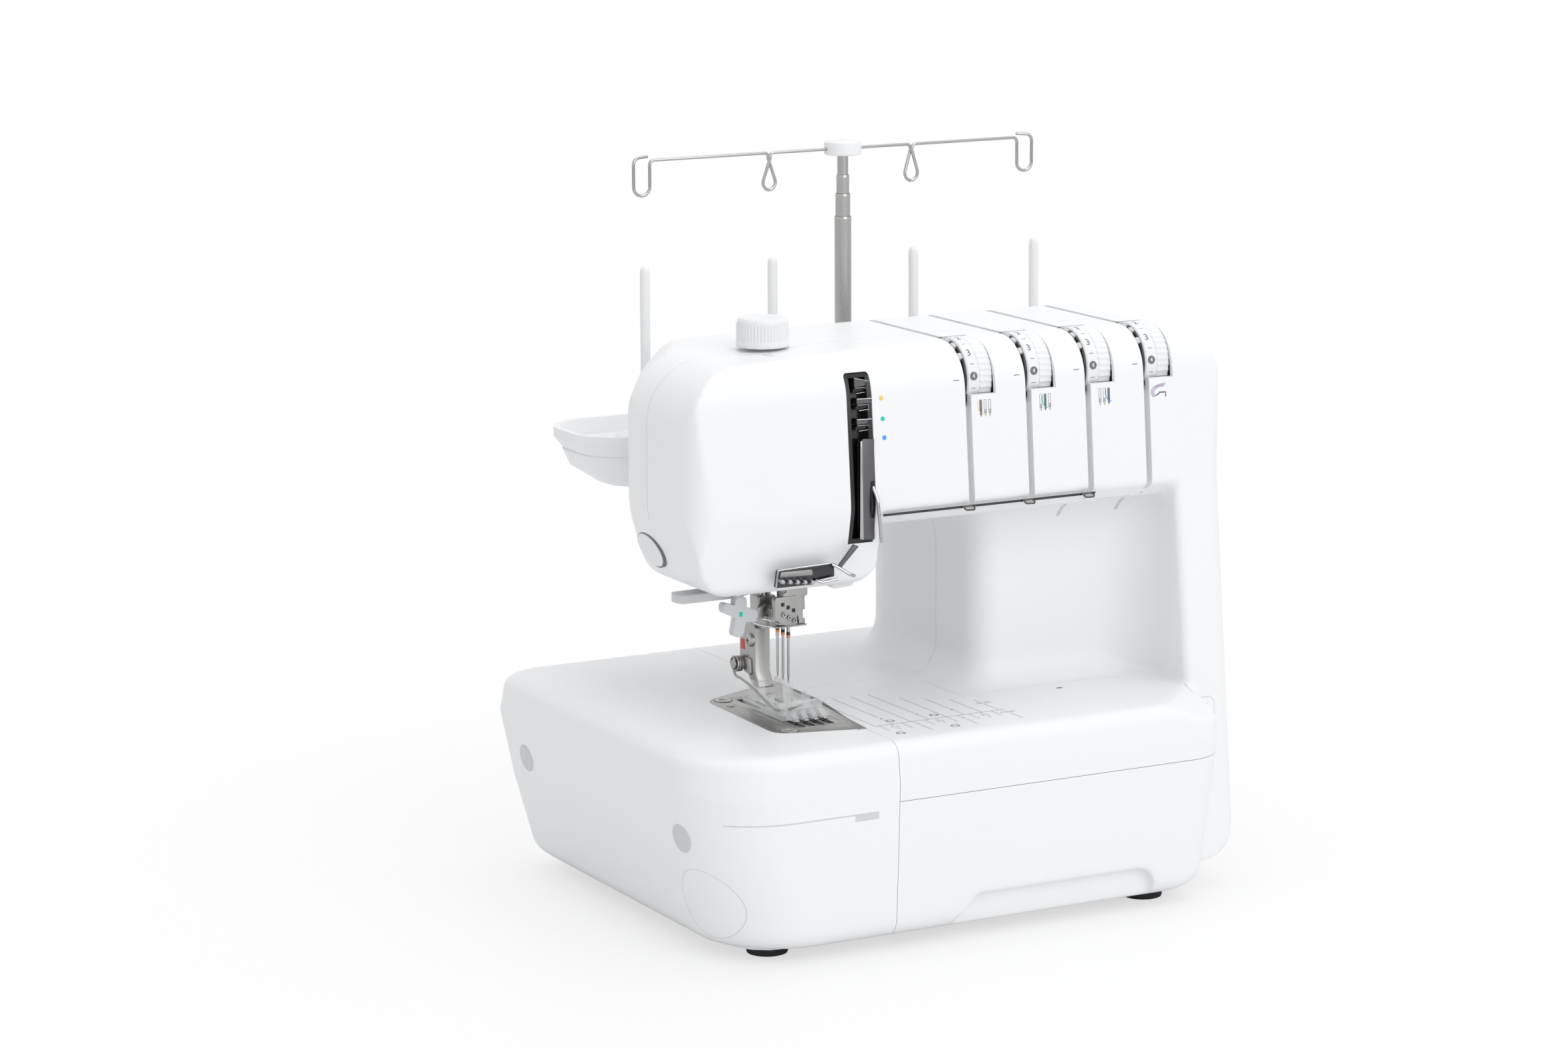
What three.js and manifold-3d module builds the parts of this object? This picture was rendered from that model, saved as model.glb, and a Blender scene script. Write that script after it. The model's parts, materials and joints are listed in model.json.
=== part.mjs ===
// Coverstitch serger: three needles in a row, one looper, four tension dials, a thread mast behind.
// Frame: millimetres, +Z up, +X to the operator's right, -Y towards the operator.
// The origin is on the ground, under the middle of the machine's box.

import * as THREE from 'three';
import { mergeVertices } from 'three/addons/utils/BufferGeometryUtils.js';
import Module from 'manifold-3d';

const wasm = await Module();
wasm.setup();

// ---------------------------------------------------------------- driving dimensions
const GAP = 0.3;                 // between pieces that touch
const RUN = 0.1;                 // radial clearance of a shaft in its bore
const WALL = 2.4;                // casing wall
const BED = 104;                 // height of the sewing surface
const FOOT_HEIGHT = 6;           // rubber feet under the base
const BASE = { left: -167, right: 129, front: -122.5, back: 122.5, kink: BED - 20,
  shoulder: BED - 7 };
const BASE_LEAN = { left: 17, right: 9, front: 4, back: 7 };       // inwards from kink to bottom
const BASE_ROUND = { left: 13, right: 9, front: 10, back: 12 };    // top edge, horizontal reach
const BASE_CORNER = { frontLeft: 38, frontRight: 20, backRight: 24, backLeft: 14 };
const BOTTOM_ROUND = 10;
const SHOULDER_SET = 1.8;        // casing draws in from kink to shoulder
const COLUMN = { left: 29, right: 151.6, recess: -38, back: 100, top: 221 };
const LEG = { left: 122.8, front: -75, lean: 23, round: 14, bottom: 14, corner: 26, step: -91.6 };
const HEAD = { left: -149, right: 154.3, top: 284.3, bottom: 170.7, back: 38, front: -75, crease: 209.5,
  lean: 6.4, brow: 22, shoulder: 36, crown: -40, drop: 4 };
const ARM = { bottom: 198, lip: 207, start: -25, diagonal: -53.5 };
const HEAD_SEAM = -26;           // the front and rear casings meet here along the head
const COLUMN_SEAM = 2.5;         // and here down the column
const BED_SEAM = -22.5;          // and here across the bed
const LEFT_SEAM = { back: -53.3, front: -63.8, turn: -84 };
const PLATE = { left: -106.4, backLeft: -103.7, back: 23.6, backStep: 1.2, frontStep: -76.2, front: -88.3,
  right: -62.9, waist: -56.7, waistY: -27.1, rightBack: -53.5, thick: 2 };
const DOOR_TOP = BED - 29;             // horizontal seam of the looper cover
const DOOR_DEPTH = 13.5;
const DOOR_HINGE = 9;            // height of the line that the looper cover drops about
const DOOR_SWEEP = 1.8;          // room behind its lower edge as it drops
const NOTCH = { left: -31, right: 84, top: 22.5, slope: 13,
  deep: 9.5 };   // hand recess of the looper cover
const NEEDLE = { x: -80, y: -35, pitch: 3, tip: BED + 15.1, step: 1.8, radius: 0.65,
  shank: 0.9, neck: 10.5, top: 151.5 };
const NEEDLE_BAR = { x: -73.6, y: -33.6, radius: 3.5, bottom: 152, top: 273, stroke: 28 };
const CLAMP = { left: -87.6, right: -69.2, front: -39, back: -29.4, bottom: 147.2, top: 164 };
const PRESSER_BAR = { x: -83.2, y: -21.5, radius: 3.3, bottom: BED + 27, top: 247, lift: 8 };
const SHANK = { left: -87.4, right: -79, front: -26.2, back: -6.5, bottom: BED + 9.4, top: BED + 41 };
const FOOT = { left: -92, right: -68, front: -60, back: -15, sole: BED + 0.4, deck: BED + 3.2 };
const FEED = { pitch: 5.2, slot: 3.4, rail: 2.4, front: -70.5, back: -2, waist: 9, root: BED - 6 };
const THROUGH = [BED - 14, BED + 16];   // below and above whatever is cut at the bed
const DIAL = { first: 4.1, pitch: 34.4, count: 4, y: -48.3, z: 265.7, radius: 19.3, offset: 1.8,
  width: 13.7, sill: 259.3, slot: 253, back: -40.5 };
const DIAL_BORE = 3;
const GROOVE = { width: 3.3, depth: 5 };
const CHANNEL = { left: -63.7, right: -49.7, bottom: 192, top: 275, depth: 8 };
const KNOB = { radius: 13, bottom: 284, top: 298.3, stem: 4, foot: PRESSER_BAR.top + PRESSER_BAR.lift + 3 };
const MAIN_SHAFT = { y: 14, z: 60, radius: 5, left: -20 };
const UPPER_SHAFT = { y: -6, z: 224, radius: 4.5, left: -69, disc: 17, thick: 5 };
const LOOPER_SHAFT = { x: -66, z: 50, radius: 4, front: -39, back: 6 };
const MOTOR = { y: 66, z: 38, radius: 20, left: 50, right: 99.7 };
const PULLEY = { motor: 7, main: 21, timing: 11, width: 7 };
const BELT = { left: 127.5, width: 6, thick: 1.4 };
const TIMING = { left: 113.5, width: 6 };
const HANDWHEEL = { radius: 33, left: 152.6, thick: 14.4, hub: 12 };
const SIDE_DIAL = { radius: 15, z: 150, stitch: -20, feed: 46, left: 153.5, thick: 8, stem: 3.5 };
const THREADER = { x: -106.6, y: -38.6, radius: 2.2 };
const LIFTER = { left: -99, right: -94, front: -30, back: -22, tip: -137, bottom: 163.4, top: 167.4,
  play: 2.5 };
const STAND_Y = 71;              // spool pins and mast stand in this plane
const TRAY = { left: -146, right: 164, front: 39, back: 104, ledge: 221.6, floor: 225.5, rim: 233.4,
  keel: 206.5 };
const PINS = [-100.8, -28, 55, 128.1];
const PIN = { radius: 2.5, top: 313.4, disc: 15.6 };
const MAST = { x: 13.2, radius: 4.3, step: 0.5, wall: 0.3, foot: 226 };
const TUBE_DROP = [34.8, 23.1, 13.5];   // each outer tube's top below the guide bar
const BAR = { z: 366.8, left: -98, right: 118, wire: 0.85, cap: 9.6, under: 3.1, over: 3.7 };
const FRAME_PLATE = 6;
const INLET = { y: 78, z: 52, wide: 26, tall: 20, deep: 15 };
const SWITCH = { y: 78, z: 84, wide: 20, tall: 12 };

// ---------------------------------------------------------------- geometry helpers
const AXES = {
  x: new THREE.Matrix4().makeBasis(
    new THREE.Vector3(0, 1, 0), new THREE.Vector3(0, 0, 1), new THREE.Vector3(1, 0, 0)),
  y: new THREE.Matrix4().makeBasis(
    new THREE.Vector3(1, 0, 0), new THREE.Vector3(0, 0, 1), new THREE.Vector3(0, -1, 0)),
  z: new THREE.Matrix4(),
};

function solidOf(geometry) {
  const bare = geometry.clone();
  bare.deleteAttribute('normal');
  bare.deleteAttribute('uv');
  const merged = mergeVertices(bare, 1e-4);
  return new wasm.Manifold(new wasm.Mesh({
    numProp: 3,
    vertProperties: Float32Array.from(merged.attributes.position.array),
    triVerts: Uint32Array.from(merged.index.array),
  }));
}

// Corners moved inwards by t, each edge staying parallel; corners run anticlockwise as [u, v, radius].
function inset(corners, t) {
  const count = corners.length;
  return corners.map(([x, y, r = 0], i) => {
    const here = new THREE.Vector2(x, y);
    const before = here.clone().sub(new THREE.Vector2(...corners[(i + count - 1) % count])).normalize();
    const after = new THREE.Vector2(...corners[(i + 1) % count]).sub(here).normalize();
    const a = new THREE.Vector2(-before.y, before.x);
    const b = new THREE.Vector2(-after.y, after.x);
    const move = a.clone().add(b).multiplyScalar(t / (1 + a.dot(b)));
    const convex = before.cross(after) > 0;
    return [x + move.x, y + move.y, r ? Math.max(convex ? r - t : r + t, 0.4) : 0];
  });
}

// Points of a closed outline whose corners are rounded by arcs.
function rounded(corners, steps = 4) {
  const count = corners.length;
  return corners.flatMap(([x, y, r = 0], i) => {
    const here = new THREE.Vector2(x, y);
    if (!r) return [here];
    const back = new THREE.Vector2(...corners[(i + count - 1) % count]).sub(here).normalize();
    const on = new THREE.Vector2(...corners[(i + 1) % count]).sub(here).normalize();
    const half = Math.acos(THREE.MathUtils.clamp(back.dot(on), -1, 1)) / 2;
    const centre = here.clone().add(back.clone().add(on).normalize().multiplyScalar(r / Math.sin(half)));
    const start = here.clone().add(back.multiplyScalar(r / Math.tan(half))).sub(centre).angle();
    const end = here.clone().add(on.multiplyScalar(r / Math.tan(half))).sub(centre).angle();
    const turn = THREE.MathUtils.euclideanModulo(end - start + Math.PI, 2 * Math.PI) - Math.PI;
    return Array.from({ length: steps + 1 }, (_, k) => {
      const angle = start + turn * k / steps;
      return new THREE.Vector2(centre.x + r * Math.cos(angle), centre.y + r * Math.sin(angle));
    });
  });
}

// An outline pushed along an axis: x takes (Y, Z), y takes (X, Z) and z takes (X, Y).
function prism(axis, corners, from, to, steps = 4, holes = []) {
  const shape = new THREE.Shape(rounded(corners, steps));
  holes.forEach((hole) => shape.holes.push(new THREE.Path(rounded(hole, steps))));
  const geometry = new THREE.ExtrudeGeometry(shape, { depth: to - from, bevelEnabled: false });
  geometry.applyMatrix4(AXES[axis]);
  const start = { x: [from, 0, 0], y: [0, to, 0], z: [0, 0, from] }[axis];
  return solidOf(geometry.translate(...start));
}

function rect(u0, u1, v0, v1, r = 0) {
  return [[u0, v0, r], [u1, v0, r], [u1, v1, r], [u0, v1, r]];
}

function box(x0, x1, y0, y1, z0, z1) {
  const geometry = new THREE.BoxGeometry(x1 - x0, y1 - y0, z1 - z0);
  return solidOf(geometry.translate((x0 + x1) / 2, (y0 + y1) / 2, (z0 + z1) / 2));
}

function turn(geometry, axis) {
  if (axis === 'x') geometry.rotateZ(-Math.PI / 2);
  if (axis === 'z') geometry.rotateX(Math.PI / 2);
  return geometry;
}

// A round rod from (x, y, z) along an axis.
function rod(axis, x, y, z, radius, length, segments = 20, endRadius = radius) {
  const geometry = turn(new THREE.CylinderGeometry(endRadius, radius, length, segments), axis);
  const half = length / 2;
  return solidOf(geometry.translate(
    x + (axis === 'x' ? half : 0), y + (axis === 'y' ? half : 0), z + (axis === 'z' ? half : 0)));
}

// A turned piece about a vertical line: profile is [radius, height] from axis to axis, upwards.
function turned(x, y, profile, segments = 24) {
  const points = profile.map(([r, h]) => new THREE.Vector2(r, h));
  const geometry = new THREE.LatheGeometry(points, segments);
  return solidOf(geometry.rotateX(Math.PI / 2).translate(x, y, 0));
}

// A tube of round section along points, through a smooth curve.
function wire(points, radius, steps) {
  const path = new THREE.CatmullRomCurve3(points.map((p) => new THREE.Vector3(...p)));
  const shape = new THREE.Shape();
  shape.absarc(0, 0, radius, 0, 2 * Math.PI, false);
  return solidOf(new THREE.ExtrudeGeometry(shape, {
    steps, extrudePath: path, curveSegments: 3, bevelEnabled: false,
  }));
}

// A skin over level loops of equal length, closed by a flat cap at each end.
// Levels are { z, loop } with loop an array of Vector2 of equal length.
function skin(levels) {
  const count = levels[0].loop.length;
  const positions = levels.flatMap(({ z, loop }) => loop.flatMap((p) => [p.x, p.y, z]));
  const index = [];
  for (let row = 0; row + 1 < levels.length; row += 1) {
    for (let k = 0; k < count; k += 1) {
      const a = row * count + k;
      const b = row * count + (k + 1) % count;
      index.push(a, b, b + count, a, b + count, a + count);
    }
  }
  const caps = [[levels[0].loop, 0, true], [levels.at(-1).loop, (levels.length - 1) * count, false]];
  caps.forEach(([loop, first, flip]) => {
    THREE.ShapeUtils.triangulateShape(loop, []).forEach(([a, b, c]) => {
      index.push(first + a, first + (flip ? c : b), first + (flip ? b : c));
    });
  });
  const geometry = new THREE.BufferGeometry();
  geometry.setAttribute('position', new THREE.Float32BufferAttribute(positions, 3));
  geometry.setIndex(index);
  return solidOf(geometry);
}

const materials = {
  shell: [0xf2f2f3, 0.45, 0], trim: [0xe4e5e7, 0.5, 0], steel: [0xb9b7b2, 0.32, 1], chrome: [0x8b8b8d,
    0.15, 1],
  dark: [0x2c2c2f, 0.3, 0.6], clear: [0xe8eef0, 0.1, 0], rubber: [0x2a2a2c, 0.8, 0], cast: [0x8f9398,
    0.6, 0.8],
  belt: [0x1f1f20, 0.85, 0], grey: [0xc6c8cb, 0.5, 0],
};

const machine = new THREE.Group();

function add(name, solid, finish) {
  const { numProp, vertProperties, triVerts } = solid.getMesh();
  const positions = new Float32Array(vertProperties.length / numProp * 3);
  for (let i = 0; i < positions.length / 3; i += 1) {
    positions.set(vertProperties.subarray(i * numProp, i * numProp + 3), i * 3);
  }
  const geometry = new THREE.BufferGeometry();
  geometry.setAttribute('position', new THREE.BufferAttribute(positions, 3));
  geometry.setIndex(new THREE.BufferAttribute(Uint32Array.from(triVerts), 1));
  geometry.computeVertexNormals();
  const [color, roughness, metalness] = materials[finish];
  const mesh = new THREE.Mesh(geometry, new THREE.MeshStandardMaterial({ color, roughness, metalness }));
  mesh.name = name;
  machine.add(mesh);
}

const FAR = 400;                 // past every face, for cutters

// ---------------------------------------------------------------- casing forms, t inside the outer skin
const arc = (count) => Array.from({ length: count + 1 }, (_, k) => Math.PI / 2 * k / count);

// The base: a soft box that leans in below its kink line and rounds over onto the bed.
function baseForm(t, sides = BASE) {
  const floor = FOOT_HEIGHT + t;
  const radius = BOTTOM_ROUND - t;
  const level = (z, low, top, tuck) => {
    const draw = (side) => low * BASE_LEAN[side] + top * BASE_ROUND[side] + tuck + t;
    const corner = (name, side) => Math.max(BASE_CORNER[name] - 0.7 * draw(side), 4);
    return { z, loop: rounded([
      [sides.left + draw('left'), sides.front + draw('front'), corner('frontLeft', 'left')],
      [sides.right - draw('right'), sides.front + draw('front'), corner('frontRight', 'right')],
      [sides.right - draw('right'), sides.back - draw('back'), corner('backRight', 'right')],
      [sides.left + draw('left'), sides.back - draw('back'), corner('backLeft', 'left')],
    ], 5) };
  };
  const leanAt = (z) => (BASE.kink - z) / (BASE.kink - FOOT_HEIGHT);
  const levels = t ? [level(-1, 1, 0, radius)] : [];
  arc(3).forEach((a) => {
    const z = floor + radius * (1 - Math.cos(a));
    levels.push(level(z, leanAt(z), 0, radius * (1 - Math.sin(a))));
  });
  const middle = (BASE.kink + FOOT_HEIGHT + BOTTOM_ROUND) / 2;
  levels.push(level(middle, leanAt(middle) * 0.85, 0, 0));
  levels.push(level(BASE.kink, 0, 0, 0));
  const set = SHOULDER_SET / BASE_ROUND.left;
  arc(4).forEach((a) => {
    const z = BASE.shoulder + (BED - t - BASE.shoulder) * Math.sin(a);
    levels.push(level(z, 0, set + (1 - set) * (1 - Math.cos(a)), 0));
  });
  return skin(levels);
}

const rearBase = { ...BASE, left: 0, right: COLUMN.right - 0.4, front: -50 };

// Hand recess along the lower edge of the looper cover.
function notchForm(t) {
  const profile = inset([[NOTCH.left, -FAR], [NOTCH.right, -FAR], [NOTCH.right, NOTCH.top, 10],
    [NOTCH.left + NOTCH.slope, NOTCH.top, 8], [NOTCH.left, FOOT_HEIGHT + 3, 4]], -t);
  return prism('y', profile, -FAR, BASE.front + NOTCH.deep + t);
}

// The bed falls away at its front right corner, towards the looper thread guide.
function scoopForm(t) {
  const drop = new THREE.Plane().setFromCoplanarPoints(new THREE.Vector3(96, -112, BED),
    new THREE.Vector3(BASE.right, -112, BED - 13), new THREE.Vector3(BASE.right, -84, BED - 1.5));
  const block = new THREE.BoxGeometry(FAR, FAR, FAR).translate(0, 0, FAR / 2 - t);
  const tilt = new THREE.Quaternion().setFromUnitVectors(new THREE.Vector3(0, 0, 1), drop.normal);
  block.applyQuaternion(tilt).translate(BASE.right, -112, BED - 13);
  return solidOf(block).intersect(box(88 - t, BASE.right + 2, -FAR, -60, BASE.kink - 5, FAR));
}

// The column behind the recess, flared onto the bed below and under the arm above.
function columnForm(t) {
  const foot = { left: 16, front: 12, rise: 16 };
  const crown = { left: 18, front: 20, rise: 28 };
  const level = (z, flareLeft, flareFront) => ({ z, loop: rounded([
    [COLUMN.left - flareLeft + t, COLUMN.recess - flareFront + t, 12 + (flareLeft + flareFront) / 2],
    [HEAD.right, COLUMN.recess - flareFront + t, 3],
    [HEAD.right, COLUMN.back - t, 8],
    [COLUMN.left - flareLeft + t, COLUMN.back - t, 52],
  ], 5) });
  const levels = [level(BED - 7 - t, foot.left, foot.front)];
  arc(3).forEach((a) => levels.push(level(BED + foot.rise * (1 - Math.cos(a)),
    foot.left * (1 - Math.sin(a)), foot.front * (1 - Math.sin(a)))));
  arc(4).forEach((a) => levels.push(level(ARM.bottom - crown.rise * (1 - Math.sin(a)),
    crown.left * (1 - Math.cos(a)), crown.front * (1 - Math.cos(a)))));
  levels.push(level(ARM.bottom + 2, 0, 0), level(COLUMN.top - t, 0, 0));
  const crest = prism('x', inset([[-FAR, 0], [COLUMN.back, 0], [COLUMN.back, COLUMN.top, 9],
    [-FAR, COLUMN.top]], t), 0, FAR, 4);
  return skin(levels).intersect(crest).intersect(sideForm(t));
}

// The right-hand side, seen from the front: rounded at the ground, leaning out towards the top.
function sideForm(t) {
  return prism('y', inset([[-FAR, LEG.bottom], [COLUMN.right, LEG.bottom, LEG.corner],
    [HEAD.right, HEAD.top], [HEAD.right, FAR], [-FAR, FAR]], t), -FAR, FAR, 6);
}

// The leg: the casing's right-hand strip, from the ground edge to the arm, leaning forward below.
function legForm(t) {
  const level = (z) => {
    const rise = (z - LEG.bottom) / (ARM.lip - LEG.bottom);
    const right = COLUMN.right + (HEAD.right - COLUMN.right) * (z - LEG.bottom) / (HEAD.top - LEG.bottom);
    const front = LEG.front - LEG.lean * (1 - rise);
    return { z, loop: rounded(inset([[LEG.left, front, 4], [right, front, LEG.round],
      [right, COLUMN.back], [LEG.left, COLUMN.back]], t), 5) };
  };
  return skin([level(LEG.bottom + t), level(ARM.lip + 2 - t)]).intersect(sideForm(t));
}

// Concave corner between the recess wall and the leg.
function coveForm(t) {
  const reach = 24;
  const over = 3 + t;
  const block = box(LEG.left - reach, LEG.left + over + t, COLUMN.recess - reach, COLUMN.recess + over + t,
    BED - (t ? 10 : 7), ARM.bottom + (t ? 4 : 2));
  return block.subtract(rod('z', LEG.left - reach, COLUMN.recess - reach, 0, reach + t, FAR, 36));
}

// The head over the needles and the arm that joins it to the column.
function headForm(t) {
  const front = inset([[ARM.diagonal, HEAD.bottom, 6], [ARM.start, ARM.bottom, 10], [HEAD.right,
    ARM.bottom, 0],
    [HEAD.right, HEAD.top, HEAD.shoulder], [HEAD.crown, HEAD.top, 200], [HEAD.left, HEAD.top - HEAD.drop,
      30],
    [HEAD.left, HEAD.crease, 30],
    [HEAD.left + 9, HEAD.bottom, 20]], t);
  const plan = inset([[HEAD.left, HEAD.front, 15], [HEAD.right, HEAD.front, 15], [HEAD.right, HEAD.back,
    12],
    [HEAD.left, HEAD.back, 57]], t);
  const over = [[HEAD.back, HEAD.top, 12], [HEAD.front + HEAD.lean, HEAD.top, HEAD.brow]];
  const needleSide = inset([[HEAD.front + 8, HEAD.bottom, 7], [HEAD.back, HEAD.bottom, 10], ...over,
    [HEAD.front, HEAD.crease, 20]], t);
  const armSide = inset([[HEAD.front + 12, ARM.bottom, 8], [HEAD.back, ARM.bottom, 8], ...over,
    [HEAD.front, ARM.lip, 2]], t);
  const join = (ARM.start + ARM.diagonal) / 2 - 6 - t;
  const sides = prism('x', needleSide, -FAR, join).add(prism('x', armSide, join - 1, FAR));
  return prism('y', front, -FAR, FAR, 5).intersect(prism('z', plan, 0, FAR, 5)).intersect(sides)
    .intersect(cornerForm(t));
}

// Softens the head's rear left corner at its top and its foot.
function cornerForm(t) {
  const heading = THREE.MathUtils.degToRad(30);
  const centre = new THREE.Vector2(HEAD.left + 57, HEAD.back - 57);
  const reach = centre.x * Math.cos(heading) - centre.y * Math.sin(heading) - 57;
  const outline = inset([[reach + 11, HEAD.bottom, 16], [FAR, HEAD.bottom], [FAR, HEAD.top + 1],
    [reach, HEAD.top + 1, 36], [reach, HEAD.crease, 24]], t);
  const geometry = new THREE.ExtrudeGeometry(new THREE.Shape(rounded(outline, 5)),
    { depth: 2 * FAR, bevelEnabled: false });
  geometry.applyMatrix4(AXES.y).translate(0, FAR, 0).rotateZ(-heading);
  return solidOf(geometry);
}

// Thread grooves: vertical cuts that follow the head's front and top.
const grooveX = Array.from({ length: DIAL.count }, (_, k) => DIAL.first + DIAL.pitch * k);

function grooveForm(t) {
  const depth = GROOVE.depth + t;
  const core = inset([[HEAD.front + 12, 0], [HEAD.back + 20, 0], [HEAD.back + 20, HEAD.top, 0],
    [HEAD.front + HEAD.lean, HEAD.top, HEAD.brow], [HEAD.front, ARM.lip, 0]], depth);
  const cut = box(-FAR, FAR, -FAR, HEAD.back - 4 + t, ARM.lip - 6 - t, FAR).subtract(
    prism('x', core, -FAR, FAR, 5));
  const half = GROOVE.width / 2 + t;
  return grooveX.map((x) => cut.intersect(box(x - half, x + half, -FAR, FAR, 0, FAR)))
    .reduce((all, one) => all.add(one));
}

function casing(t) {
  return baseForm(t).subtract(notchForm(t)).subtract(scoopForm(t)).add(baseForm(t, rearBase))
    .add(columnForm(t)).add(legForm(t)).add(coveForm(t)).add(headForm(t).subtract(grooveForm(t)));
}

// ---------------------------------------------------------------- where the casing is open
const plateOutline = [[PLATE.backLeft, PLATE.backStep, 10], [PLATE.left, PLATE.frontStep, 9],
  [PLATE.right, PLATE.front], [PLATE.waist, PLATE.waistY], [PLATE.rightBack, PLATE.back]];
const plateHole = prism('z', inset(plateOutline, -GAP), BED - 8, BED + 1);
const plateEdge = prism('z', [[PLATE.right - 5, PLATE.front - GAP], [LEFT_SEAM.front + 1,
  PLATE.front - GAP],
  [LEFT_SEAM.front + 1, LEFT_SEAM.turn], [LEFT_SEAM.back + 1, BED_SEAM], [LEFT_SEAM.back + 1,
    PLATE.back + GAP],
  [PLATE.rightBack - 5, PLATE.back + GAP]], BED - 8, BED + 1);
const facing = (panel, grow) => box(130, 170, panel.y - panel.wide / 2 - grow,
  panel.y + panel.wide / 2 + grow,
  panel.z - panel.tall / 2 - grow, panel.z + panel.tall / 2 + grow);
const channelBox = (grow) => box(CHANNEL.left - grow, CHANNEL.right + grow, -FAR, HEAD.front + 20,
  CHANNEL.bottom - grow, CHANNEL.top + grow);
const openings = [
  rod('z', NEEDLE_BAR.x, NEEDLE_BAR.y, HEAD.bottom - 9, NEEDLE_BAR.radius + 1, 20, 16),
  rod('z', PRESSER_BAR.x, PRESSER_BAR.y, HEAD.bottom - 9, PRESSER_BAR.radius + 1, 20, 16),
  rod('z', PRESSER_BAR.x, PRESSER_BAR.y, HEAD.top - 8, KNOB.stem + 0.6, 20, 16),
  rod('z', THREADER.x, THREADER.y, HEAD.bottom - 9, THREADER.radius + 0.6, 20, 12),
  box(LIFTER.left - LIFTER.play, LIFTER.right + LIFTER.play, LIFTER.front - 1, LIFTER.back + 1,
    HEAD.bottom - 9, HEAD.bottom + 9),
  rod('x', 140, MAIN_SHAFT.y, MAIN_SHAFT.z, MAIN_SHAFT.radius + 1, 30, 16),
  rod('x', 140, SIDE_DIAL.stitch, SIDE_DIAL.z, SIDE_DIAL.stem + 0.5, 30, 12),
  rod('x', 140, SIDE_DIAL.feed, SIDE_DIAL.z, SIDE_DIAL.stem + 0.5, 30, 12),
  facing(INLET, GAP), facing(SWITCH, GAP), channelBox(0),
  ...grooveX.flatMap((x) => {
    const side = GROOVE.width / 2;
    const far = x + DIAL.offset + DIAL.width + GAP;
    return [box(x - side, far, -FAR, DIAL.back, DIAL.sill, FAR), box(x - side, x + side, -FAR, DIAL.back,
      DIAL.slot, FAR),
      rod('x', x + side, DIAL.y, DIAL.z, DIAL.radius + 0.7, far - x - side, 32)];
  }),
];
const outer = casing(0);
const shell = openings.reduce((solid, opening) => solid.subtract(opening), outer.subtract(casing(WALL)));

// ---------------------------------------------------------------- where the casing parts
// Each region is grown by g so that its neighbour can be cut back to leave a seam.
const leftRegion = (g) => prism('z', inset([[-FAR, -FAR], [LEFT_SEAM.front, -FAR],
  [LEFT_SEAM.front, LEFT_SEAM.turn], [LEFT_SEAM.back, BED_SEAM], [LEFT_SEAM.back, FAR], [-FAR, FAR]], -g),
-FAR, BED + 20);
const doorBack = BASE.front + DOOR_DEPTH;
const doorRegion = (g) => box(LEFT_SEAM.front - FAR, BASE.right + 1 + g, -FAR, doorBack + g, -FAR,
  DOOR_TOP + g);
const doorSweep = box(LEFT_SEAM.front - FAR, BASE.right + 2, -FAR, doorBack + DOOR_SWEEP, -FAR,
  DOOR_HINGE + 2);
const bedRegion = (g) => prism('z', inset([[-FAR, -FAR], [BASE.right + 1, -FAR],
  [BASE.right + 1, LEG.step], [LEG.left - GAP, LEG.step], [LEG.left - GAP, LEG.step + 16],
  [LEG.left - 26, COLUMN.recess - 13], [COLUMN.left - 17, COLUMN.recess - 13],
  [COLUMN.left - 17, BED_SEAM + 20, 8], [-19, BED_SEAM, 20], [-FAR, BED_SEAM]], -g), DOOR_TOP - g,
    BED + 0.5);
const frontRegion = (g) => box(-FAR, FAR, -FAR, HEAD_SEAM + g, BED + 50, FAR)
  .add(box(-FAR, FAR, -FAR, COLUMN_SEAM + g, -FAR, ARM.bottom + 6));

const leftPiece = shell.intersect(leftRegion(0)).subtract(plateHole).subtract(plateEdge);
const notLeft = shell.subtract(leftRegion(GAP)).subtract(plateHole);
const doorPiece = notLeft.intersect(doorRegion(0));
const notDoor = notLeft.subtract(doorRegion(GAP)).subtract(doorSweep);
const bedPiece = notDoor.intersect(bedRegion(0));
const notBed = notDoor.subtract(bedRegion(GAP));

add('left_cover', leftPiece, 'shell');
add('front_cover', doorPiece, 'shell');
add('bed_cover', bedPiece, 'shell');
add('front_shell', notBed.intersect(frontRegion(0)), 'shell');
add('rear_shell', notBed.subtract(frontRegion(GAP)), 'shell');

// ---------------------------------------------------------------- base and feet
const trayLoop = inset([[BASE.left + 27, BASE.front + 14, 22], [BASE.right - 19, BASE.front + 14, 10],
  [BASE.right - 19, BASE.back - 17, 10], [BASE.left + 27, BASE.back - 17, 8]], 1);
const notchClear = prism('y', inset([[NOTCH.left, -FAR], [NOTCH.right, -FAR], [NOTCH.right, NOTCH.top],
  [NOTCH.left, NOTCH.top]], -WALL - 1), -FAR, BASE.front + NOTCH.deep + WALL + 1);
add('base_tray', prism('z', trayLoop, FOOT_HEIGHT + GAP, FOOT_HEIGHT + 3.3, 4).subtract(notchClear),
  'trim');

const footSpots = { front_left: [-118, -88], front_right: [94, -92], rear_left: [-118, 88],
  rear_right: [92, 88] };
Object.entries(footSpots).forEach(([place, [x, y]]) => {
  add(`foot_${place}`, rod('z', x, y, 0, 10, FOOT_HEIGHT, 24, 11), 'rubber');
});

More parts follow.
